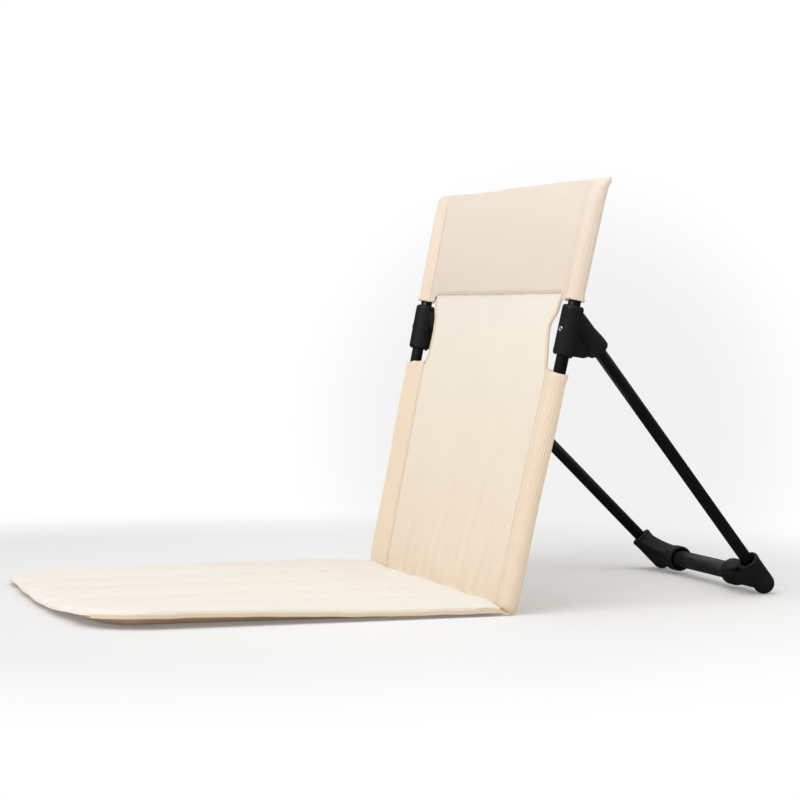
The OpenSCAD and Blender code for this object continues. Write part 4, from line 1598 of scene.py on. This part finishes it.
        # the top rows run together, so their inner side is drawn in and down to keep a wall
        keep = rows - 3
        slim = self.back.at(ring * [1, 0.55, 1] - [0, 0, 1.4])
        inner[keep:] = slim[keep:] * 0.5 + inner[keep:] * 0.5
        maker = MeshMaker()
        cols = ring.shape[1]
        texture = grid_texture(outer, True)
        a = maker.add_points(outer)
        b = maker.add_points(inner)
        near = (zone == Zone.ROUND).astype(int)
        far = near + (zone == Zone.ARM) * (value < 0.4)
        angle = np.degrees(np.where(zone == Zone.ROUND, value, math.pi / 2))
        welt = near * (np.abs(angle - 30) < 6)
        look = np.concatenate([near, far[-2::-1], (far + welt)[1:], (near + welt)[-2:0:-1]])
        maker.grid(a, rows, cols, texture, wrap=True)
        maker.paint(np.tile(look, rows - 1))
        maker.grid(b, rows, cols, texture, wrap=True, flip=True)
        c = np.arange(cols)
        n = (c + 1) % cols
        rim = np.stack([a + n, a + c, b + c, b + n], -1)
        edge = texture[0]
        maker.add_quads(rim, np.stack([edge[c + 1], edge[c], edge[c], edge[c + 1]], 1))
        last = (rows - 1) * cols
        maker.close_ring(a + last, cols, texture[-1])
        maker.close_ring(b + last, cols, texture[-1], flip=True)
        obj = maker.make("hood", [Look.HOOD, Look.POCKET, Look.WELT])
        return Piece(obj, Slot.BAND, ("top_band", "upper_pocket_left", "upper_pocket_right"))

    def hood_points(self, x: np.ndarray, n: np.ndarray, h: np.ndarray, zone: np.ndarray,
                    side: int) -> np.ndarray:
        """Places of one face of the hood, with its soft waves, hem puckers and bent tips.

        Args:
            x: Distance from the middle plane, to the left.
            n: Distance behind the poles' plane before the waves.
            h: Height up the back.
            zone: Part of the row, a Zone at each point.
            side: 1 for the left half and -1 for the right.

        Returns:
            Points in the frame of the back.
        """
        u = np.clip(np.abs(x) / SIZES.seam_x(h), 0, 1)
        near_hem = np.exp(-np.clip(h - SIZES.hem_h, 0, None) / 9)
        front = (n < 0) * 1.0
        waves = ripples(x, h, [(0.7, 2.2, 3.0, 0.4), (0.5, -4.1, 5.2, 1.3), (0.3, 1.0, 13, 2.2)])
        pucker = ripples(x, h, [(0.9, 17, 9, 0.4), (0.7, -26, 14, 1.2), (0.45, 43, 0, 0.9)])
        calm = (1 - u ** 6) * (zone == Zone.FLAT)
        waves = waves * ease(h, 320, 352) * (1 - ease(h, 425, 440))
        y = n + calm * (waves - front * near_hem * (0.25 + 0.30 * pucker))
        spread = ease(h, 431, 440) * ease(np.abs(x), 238, 258)
        y = y + 4.5 * spread * (side > 0) + 1.5 * spread * (side < 0)
        drop = 3.2 * ease(np.abs(x), 120, 236) * (side > 0)
        rise = ease(h, 405, 440) * (1.0 * u ** 4 - 1.0 * np.sin(math.pi * u) + 2.0 * spread - drop)
        return np.stack([x, y, h + rise], -1)

    def binding(self, side: int) -> Piece:
        """Folded tape round a notch, carried along the notch's curve.

        Args:
            side: 1 for the left, -1 for the right.

        Returns:
            The tape.
        """
        hs = np.linspace(240, 316, 90)
        x = side * self.edge(hs, side)
        y = self.depth(x, hs)
        path = self.back.at(np.stack([x, y, hs], -1))
        step = unit(np.gradient(path, axis=0))
        up = self.back.turn(np.array([0, -1.0, 0]))
        out = unit(np.cross(step, up)) * side
        if out[40, 0] * side < 0:
            out = -out
        section = soft_section(2.6, 1.25, 16, 0.5, 0.6, shift=0.4)
        wave = 1 + 0.06 * np.sin(hs * 1.9)
        maker = MeshMaker()
        ups = np.broadcast_to(up, path.shape)
        maker.sweep(path, section, out, ups, np.stack([wave, wave], -1))
        name = side_name(side)
        obj = maker.make(f"notch_tape_{name}", [Look.TAPE])
        return Piece(obj, Slot.TAPE, (f"notch_binding_{name}",))

    def sewing(self) -> Piece:
        """Stitches along the hem, the notches and the seams of the sleeves and pockets.

        Returns:
            All threads as one piece.
        """
        lines: list[np.ndarray] = []
        x = np.linspace(-196, 196, 112)
        out, hem = np.full(len(x), -1.9), np.full(len(x), SIZES.hem_h + 2.6)
        zone = np.full(len(x), Zone.FLAT)
        lines.append(self.hood_points(x, out, hem, zone, 1) + [0, -0.15, 0])
        for side in (-1, 1):
            hs = np.arange(242, 314, 3.0)
            inner = side * (self.edge(hs, side) - 2.6)
            lines.append(np.stack([inner, self.depth(inner, hs) - 0.75, hs], -1))
            hs = np.arange(6, 232, 3.4)
            seam = side * (SIZES.seam_x(hs) + 2.5)
            lines.append(np.stack([seam, np.full(len(hs), -1.75), hs], -1))
        hs = np.arange(318, 430, 3.4)
        lines.append(np.stack([14.4 - SIZES.pole_x(hs), np.full(len(hs), -1.9), hs], -1))
        maker = MeshMaker()
        away = self.back.turn(np.array([0, -1.0, 0]))
        for line in lines:
            centres = self.back.at(line)
            along = unit(np.gradient(centres, axis=0))
            facing = np.broadcast_to(away, centres.shape)
            maker.stamps(centres, along, facing, self.stitch, self.thread_r)
        return Piece(maker.make("back_sewing", [Look.THREAD]), Slot.TAPE)


@dataclass(frozen=True)
class Hardware:
    """Tubes, hubs and eyelets; sizes in millimetres."""

    tube_wall: float = 1.2
    tube_cut: float = 0.5
    strut_end: float = 386.3
    bore_gap: float = 0.35  # between a pole and its hub
    mouth: float = 52.0  # of the strut's socket, from where the axes meet
    web_t: float = 5.2
    foot_web_t: float = 8.0
    plug_depth: float = 34.0  # floor of the crossbar's socket, from the strut's axis
    eyelet_turn: float = math.radians(22)
    hub_voxel: float = 0.55
    foot_voxel: float = 0.6

    def tube(self, name: str, place: Placement, start: float, end: float, radius: float,
             node: str, look: Finish = Look.TUBE) -> Piece:
        """A smooth tube with softly broken edges, turned from a closed profile.

        Args:
            name: Name of the piece.
            place: Frame whose z is the tube's axis.
            start: Where it starts along the axis.
            end: Where it ends.
            radius: Its outer radius.
            node: CAD node that it stands for.
            look: Its finish.

        Returns:
            The tube.
        """
        cut = self.tube_cut
        inner = radius - self.tube_wall
        profile = [(inner, start), (radius - cut, start), (radius, start + cut), (radius, end - cut),
                   (radius - cut, end), (inner, end), (inner, end - cut), (inner, start + cut)]
        maker = MeshMaker()
        maker.revolve(place, profile, closed=True)
        return Piece(maker.make(name, [look]), Slot.TUBE, (node,))

    def web(self, maker: MeshMaker, plane: Plane, outline: Sequence[tuple], thick: float) -> None:
        """Adds a flat plate with its outline in a plane.

        Args:
            maker: Where it goes.
            plane: Plane of its middle.
            outline: Corners in that plane.
            thick: Its thickness.
        """
        ring = plane.spots(outline)
        across = plane.normal * thick / 2
        maker.ring_solid(np.stack([ring - across, ring + across]))

    def bar(self, maker: MeshMaker, path: np.ndarray, normal: np.ndarray, wide: float,
            high: float) -> None:
        """Adds a rounded strip along a path.

        Args:
            maker: Where it goes.
            path: Points of the path, in one plane.
            normal: Direction across that plane.
            wide: Size along the normal.
            high: Size in the plane.
        """
        step = unit(np.gradient(path, axis=0))
        across = np.broadcast_to(normal, path.shape)
        up = unit(np.cross(step, across))
        maker.sweep(path, soft_section(wide / 2, high / 2, 16, 0.5, 0.5), across, up)

    def pole_hub(self, side: int) -> Piece:
        """Sleeve on the pole, flared socket for the strut, and the recessed web between them.

        Sleeve and socket are turned profiles, the web is a plate whose plane holds both axes,
        and its rims are rounded strips. All are fused to one moulded skin.

        Args:
            side: 1 for the left, -1 for the right.

        Returns:
            The hub.
        """
        pole, strut = pole_place(side), strut_place(side)
        low = SIZES.hub_mid - SIZES.hub_len / 2
        high = low + SIZES.hub_len
        r, bore, mouth = SIZES.hub_r, SIZES.pole_r + self.bore_gap, self.mouth
        maker = MeshMaker()
        maker.revolve(pole, [(bore, low + 1.4), (bore + 1.2, low), (r - 2.0, low),
                             (r - 0.6, low + 0.7), (r, low + 2.2), (r, high - 3.2),
                             (r - 0.5, high - 1.3), (r - 1.8, high - 0.2), (bore + 1.4, high),
                             (bore, high - 1.6)], closed=True)
        maker.revolve(strut, [(8.2, 1.0), (9.6, 3.0), (10.0, 12), (10.2, 28), (10.9, 35), (11.6, 40),
                              (12.0, 46), (12.0, mouth - 1.4), (11.2, mouth - 0.3), (8.3, mouth),
                              (7.1, mouth - 1), (6.75, mouth - 3), (6.75, 20), (0.2, 19)])
        up, along = pole.axes[2], strut.axes[2]
        plane = Plane(strut.origin, unit(along - np.dot(along, up) * up), up)
        normal = plane.normal
        cosine, sine = -float(np.dot(along, up)), float(np.linalg.norm(np.cross(along, up)))
        foot = low - SIZES.meet_h
        tip = (49 * sine - 9 * cosine, -49 * cosine - 9 * sine)
        self.web(maker, plane, [(0, foot + 1.6), (24, foot + 2.0), tip, (46 * sine, -46 * cosine),
                                (0, -4)], self.web_t)
        rim = [(4, foot + 2.2), (14, foot + 2.3), (24, foot + 2.7), tip]
        self.bar(maker, plane.spots(rim), normal, 7.5, 2.0)
        spine = [(9.4, -6.0), (9.4, -18), (9.4, -32), (9.4, foot - 1.2)]
        self.bar(maker, plane.spots(spine), normal, 3.0, 3.0)
        drop = unit(np.cross(normal, along))
        drop = drop if np.dot(drop, up) < 0 else -drop
        tab = strut.origin + np.array([[42.0], [48.0], [52.0]]) * along + 10.2 * drop
        self.bar(maker, tab, normal, 5.0, 2.4)
        name = side_name(side)
        obj = fused(maker.make(f"pole_hub_body_{name}", [Look.NYLON]), self.hub_voxel, 4)
        return Piece(obj, Slot.NYLON, (f"pole_hub_{name}",))

    def eyelets(self) -> Piece:
        """Rolled rings of the two eyelets, turned from the front a little outwards.

        Returns:
            Both rings as one piece.
        """
        maker = MeshMaker()
        turn = self.eyelet_turn
        for side in (-1, 1):
            pole = pole_place(side)
            out = np.array([math.sin(turn), -math.cos(turn), 0])
            axes = np.array([[math.cos(turn), math.sin(turn), 0], [0, 0, 1], out]) @ pole.axes
            place = Placement(pole.at(out * (SIZES.hub_r - 0.35) + [0, 0, SIZES.hub_mid]), axes)
            maker.revolve(place, [(1.15, -2.0), (1.7, -2.0), (1.75, 0.0), (2.5, 0.15), (2.62, 0.5),
                                  (2.3, 0.85), (1.75, 0.95), (1.3, 0.75), (1.15, 0.3)],
                          closed=True, steps=36)
        return Piece(maker.make("eyelet_rings", [Look.EYELET]), Slot.EYELET, ("hub_eyelets",))

    def foot_hub(self, side: int) -> Piece:
        """Domed cup for the strut and collared socket for the crossbar, joined by a flanged web.

        Cup and socket are turned profiles; the web's upper edge is a line that sags by a
        parabola, with a wide rounded strip on it. All are fused to one moulded skin.

        Args:
            side: 1 for the left, -1 for the right.

        Returns:
            The foot hub.
        """
        strut, bar = strut_place(side), bar_place(side)
        end = SIZES.strut_reach
        start = end - SIZES.cup_len
        r = SIZES.cup_r
        maker = MeshMaker()
        dome = [(r * math.cos(a), end + r * math.sin(a)) for a in np.radians(np.linspace(0, 86, 16))]
        maker.revolve(strut, [(0.2, start + 20), (6.9, start + 20), (7.3, start + 5),
                              (8.2, start + 1.5), (9.0, start + 0.1), (10.6, start + 0.2),
                              (11.9, start + 1.4), (12.2, start + 3.0), (11.6, start + 6.5),
                              (r, start + 12), (r, end - 3), *dome, (0.2, end + r)])
        c, k, length = SIZES.collar_r, SIZES.socket_r, SIZES.socket_len
        begin = length - SIZES.collar_len
        hole = SIZES.bar_r + 0.2
        maker.revolve(bar, [(0.2, 0.0), (k - 2, 0.0), (k - 0.4, 1.5), (k, 4), (k, begin - 6),
                            (k + 0.6, begin - 3), (c - 0.5, begin + 1.0), (c, begin + 3.0),
                            (c, length - 2.6), (c - 0.7, length - 0.7), (c - 2.0, length),
                            (12.2, length - 0.2), (11.3, length - 2.0), (11.0, length - 8.5),
                            (hole, length - 9.0), (hole, self.plug_depth), (0.2, self.plug_depth)])
        up, inward = -strut.axes[2], bar.axes[2]
        cosine = float(np.dot(up, inward))
        sine = math.sqrt(1 - cosine * cosine)
        plane = Plane(bar.origin, unit(inward - cosine * up), up)
        normal = plane.normal
        rim = SIZES.cup_len - SIZES.bar_up
        tip = begin + 2
        shoulder = np.array([tip * sine - k * cosine, tip * cosine + k * sine])
        crest = np.array([r - 1.0, rim - 6.0])
        share = np.linspace(0, 1, 14)[:, None]
        curve = crest * (1 - share) + shoulder * share
        curve = curve - np.array([0.35, 1.0]) * (9.0 * share * (1 - share))
        outline = [(0, 0), (0, crest[1]), *map(tuple, curve), (tip * sine, tip * cosine)]
        self.web(maker, plane, outline, self.foot_web_t)
        self.bar(maker, plane.spots(curve), normal, 16.0, 3.2)
        ridge = [(r - 0.2, rim - 4), (r + 0.1, rim - 14), (r, 4), (r - 0.6, -6)]
        self.bar(maker, plane.spots(ridge), normal, 3.2, 1.8)
        name = side_name(side)
        obj = fused(maker.make(f"foot_hub_body_{name}", [Look.NYLON]), self.foot_voxel, 4)
        return Piece(obj, Slot.NYLON, (f"foot_hub_{name}",))


# set


@dataclass(frozen=True)
class Studio:
    """Camera, lights and the pale floor on which the chair stands."""

    eye: tuple[float, float, float] = (2518.5, -792.0, 307.7)  # camera's place in millimetres
    yaw: float = math.radians(72.36)  # from straight in front of the chair to its left
    pitch: float = math.radians(2.15)
    lens: float = 109.9  # focal length in millimetres
    floor_half: float = 20000.0
    sky: float = 0.43  # brightness of the soft light from all round
    upper_sky: float = 0.6  # brightness of the upper sky in reflections
    mirrored: float = 0.035  # brightness of all else in reflections
    shaded: float = 0.885  # brightness in the middle of the halo

    def camera(self) -> None:
        """Long lens from the sitter's left, just above the seat."""
        data = bpy.data.cameras.new("camera")
        data.sensor_width = 36.0
        data.lens = self.lens
        data.clip_start = 0.05
        data.clip_end = 60.0
        obj = bpy.data.objects.new("camera", data)
        bpy.context.scene.collection.objects.link(obj)
        flat = math.cos(self.pitch)
        back = Vector((math.sin(self.yaw) * flat, -math.cos(self.yaw) * flat, math.sin(self.pitch)))
        obj.location = np.array(self.eye) * MM
        obj.rotation_mode = "QUATERNION"
        obj.rotation_quaternion = (-back).to_track_quat("-Z", "Y")
        bpy.context.scene.camera = obj

    def area(self, name: str, spot: Sequence[float], aim: Sequence[float], size: Sequence[float],
             power: float, color: Sequence[float] = (1, 1, 1)) -> None:
        """Adds one soft light.

        Args:
            name: Its name.
            spot: Where it is, in metres.
            aim: What it looks at, in metres.
            size: Its width and height, in metres.
            power: Its power in watts.
            color: Its colour.
        """
        data = bpy.data.lights.new(name, "AREA")
        data.shape = "RECTANGLE"
        data.size, data.size_y = size
        data.energy = power
        data.color = color
        obj = bpy.data.objects.new(name, data)
        obj.location = spot
        # only the key light is mirrored in the tubes
        obj.visible_glossy = name == "key"
        obj.rotation_mode = "QUATERNION"
        obj.rotation_quaternion = (Vector(aim) - Vector(spot)).to_track_quat("-Z", "Y")
        bpy.context.scene.collection.objects.link(obj)

    def floor(self) -> None:
        """A wide flat floor whose paper, with its painted shade, fades to glowing white far away."""
        span = np.array([-self.floor_half, self.floor_half])
        grid = np.stack([*np.meshgrid(span, span), np.zeros((2, 2))], -1)
        maker = MeshMaker()
        first = maker.add_points(grid)
        maker.grid(first, 2, 2, grid_texture(grid))
        maker.make("floor", [Paper("floor_paper", (0.91, 0.91, 0.91))])

    @classmethod
    def halo(cls, graph: Graph, way: bpy.types.NodeSocket) -> bpy.types.NodeSocket:
        """Brightness of the far background: one, and a little less straight behind the chair, as
        painted shade.

        Args:
            graph: Tree that gets the nodes.
            way: Direction of sight, of length one.

        Returns:
            The brightness, a smooth step of the cosine of the angle to the middle of the halo.
        """
        yaw, pitch = cls.yaw - math.radians(3.75), cls.pitch + math.radians(0.7)
        middle = (-math.sin(yaw) * math.cos(pitch), math.cos(yaw) * math.cos(pitch), -math.sin(pitch))
        near = graph.add("ShaderNodeVectorMath", {0: way, 1: middle}, operation="DOT_PRODUCT")
        inputs = {"Value": near.outputs["Value"], "From Min": math.cos(math.radians(6.6)),
                  "From Max": math.cos(math.radians(2.6)), "To Min": 1.0, "To Max": cls.shaded}
        return graph.add("ShaderNodeMapRange", inputs, interpolation_type="SMOOTHSTEP").outputs[0]

    def world(self) -> None:
        """White for the camera but for painted shade straight behind the chair, even for soft light,
        and in reflections dim but for the upper sky.
        """
        graph = WorldGraph("surroundings")
        bpy.context.scene.world = graph.world
        ray = graph.add("ShaderNodeLightPath").outputs
        way = graph.add("ShaderNodeTexCoord").outputs["Generated"]
        up = graph.add("ShaderNodeSeparateXYZ", {0: way}).outputs["Z"]
        inputs = {"Value": up, "From Min": 0.05, "From Max": 0.75, "To Min": self.mirrored,
                  "To Max": self.upper_sky}
        sheen = graph.add("ShaderNodeMapRange", inputs, interpolation_type="SMOOTHSTEP").outputs[0]
        dim = graph.add("ShaderNodeMix", {0: ray["Is Glossy Ray"], 2: self.sky, 3: sheen}).outputs[0]
        # painted shade: the background seen by the camera is a little darker straight behind the chair
        far = self.halo(graph, way)
        seen = graph.add("ShaderNodeMix", {0: ray["Is Camera Ray"], 2: dim, 3: far})
        node = graph.tree.nodes["Background"]
        graph.put(node.inputs["Color"], (1, 1, 1, 1))
        graph.put(node.inputs["Strength"], seen.outputs[0])
        scene = bpy.context.scene
        scene.view_settings.view_transform = "Standard"
        scene.view_settings.look = "None"

    def build(self) -> None:
        """Builds the whole set."""
        self.camera()
        self.world()
        self.floor()
        self.area("key", (1.3, -1.7, 2.5), (0, 0.05, 0.15), (2.2, 1.8), 43, (1, 0.99, 0.975))
        self.area("top", (-0.2, 0.3, 2.8), (0, 0.1, 0), (3.0, 2.4), 26)
        self.area("front", (0.3, -3.2, 1.3), (0, 0.1, 0.2), (2.4, 1.4), 17)
        self.area("side", (2.8, 1.6, 1.4), (0, 0.1, 0.2), (1.2, 1.6), 9)


@dataclass(frozen=True)
class Paper(Finish):
    """Matte paper with painted shade, greyer in front of the chair, that turns to glowing plain white
    far away.
    """

    def build(self, graph: NodeGraph) -> None:
        """Painted shade is a smooth step along y; the share of white glow, which carries the halo's
        painted shade, is one of the distance from the chair.

        Args:
            graph: Tree that gets the nodes.
        """
        place = graph.add("ShaderNodeTexCoord").outputs["Object"]
        along = graph.add("ShaderNodeSeparateXYZ", {0: place}).outputs["Y"]
        # painted shade: the paper is drawn darker in front of the chair
        tone = graph.add("ShaderNodeMapRange", {"Value": along, "From Min": -0.8, "From Max": 0.3},
                         interpolation_type="SMOOTHSTEP").outputs[0]
        painted_shade = tuple(c * 0.83 for c in self.color)
        graph.surface({"Base Color": graph.blend(tone, (*painted_shade, 1), (*self.color, 1)),
                       "Roughness": 0.8, "Specular IOR Level": 0.1})
        middle = graph.add("ShaderNodeVectorMath", {0: place, 1: (0.12, 0.12, 0)}).outputs[0]
        reach = graph.add("ShaderNodeVectorMath", {0: middle}, operation="LENGTH").outputs["Value"]
        inputs = {"Value": reach, "From Min": 0.55, "From Max": 1.0, "To Min": 0.16}
        share = graph.add("ShaderNodeMapRange", inputs, interpolation_type="SMOOTHSTEP").outputs[0]
        eye = tuple(-v * MM for v in Studio.eye)
        sight = graph.add("ShaderNodeVectorMath", {0: place, 1: eye}).outputs[0]
        way = graph.add("ShaderNodeVectorMath", {0: sight}, operation="NORMALIZE").outputs[0]
        # the white glow is emission, darkened by the halo's painted shade; in reflections the floor is
        # only a dim fixed glow
        glow, mirrored = (graph.add("ShaderNodeEmission", {"Strength": power}).outputs[0]
                          for power in (Studio.halo(graph, way), Studio.mirrored))
        lit = graph.shader.outputs[0]
        mix = graph.add("ShaderNodeMixShader", {0: share, 1: lit, 2: glow}).outputs[0]
        ray = graph.add("ShaderNodeLightPath").outputs["Is Glossy Ray"]
        shown = graph.add("ShaderNodeMixShader", {0: ray, 1: mix, 2: mirrored}).outputs[0]
        graph.put(graph.tree.nodes["Material Output"].inputs["Surface"], shown)


# all together


def set_plain_aside() -> None:
    """Renames the frame's plain materials, so that the finishes can carry the slots' own names."""
    for plain in list(bpy.data.materials):
        plain.name = f"plain_{plain.name}"


def finish_inner_nodes() -> None:
    """Gives the CAD nodes that stay their finishes."""
    looks = {slot: getattr(Look, slot.name) for slot in Slot}
    slot_of = {row["node"]: row["material_slot"] for row in frame["record"]["subparts"]}
    for name, obj in frame["nodes"].items():
        obj.data.materials.clear()
        obj.data.materials.append(looks[Slot(slot_of[name])].material())


def build_chair() -> None:
    """Builds every piece and ties each to its body, but for the back cloth and the crease edges, whose
    transforms are only baked.
    """
    pad = SeatPad()
    for piece in (pad.cover(), pad.tape(), pad.sewing(),
                  *map(pad.foam, range(1, SIZES.channels + 1))):
        piece.ride(Body.SEAT)
    back = BackCloth()
    crease = SIZES.crease_y
    fold = ((0, crease - 3.0, 6.0), (0, crease - 21.0, 6.0))
    back.panel().blend(Body.FRAME, Body.SEAT, *fold)
    back.crease_edges().blend(Body.FRAME, Body.SEAT, *fold)
    back.hood().ride(Body.FRAME)
    back.sewing().ride(Body.FRAME)
    hardware = Hardware()
    for side, strut_body in ((1, Body.STRUT_LEFT), (-1, Body.STRUT_RIGHT)):
        name = side_name(side)
        back.sleeve(side).ride(Body.FRAME)
        back.binding(side).ride(Body.FRAME)
        pole, strut = pole_place(side), strut_place(side)
        hardware.tube(f"pole_tube_{name}", pole, 0.0, SIZES.pole_len, SIZES.pole_r,
                      f"pole_{name}").ride(Body.FRAME)
        hardware.pole_hub(side).ride(Body.FRAME)
        hardware.tube(f"strut_tube_{name}", strut, SIZES.strut_top, hardware.strut_end,
                      SIZES.pole_r, f"strut_{name}").ride(strut_body)
        hardware.foot_hub(side).ride(strut_body)
    hardware.eyelets().ride(Body.FRAME)
    bar = bar_place(1)
    half = bar.origin[0] - SIZES.socket_len + SIZES.bar_hold
    middle = Placement(bar.origin * [0, 1, 1], bar.axes)
    hardware.tube("crossbar_tube", middle, -half, half, SIZES.bar_r, "crossbar",
                  Look.BAR).ride(Body.CROSSBAR)


def main() -> None:
    """Builds the scene."""
    logging.basicConfig(level=logging.INFO)
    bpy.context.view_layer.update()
    Studio().build()
    set_plain_aside()
    finish_inner_nodes()
    build_chair()


if __name__ == "__main__":
    main()
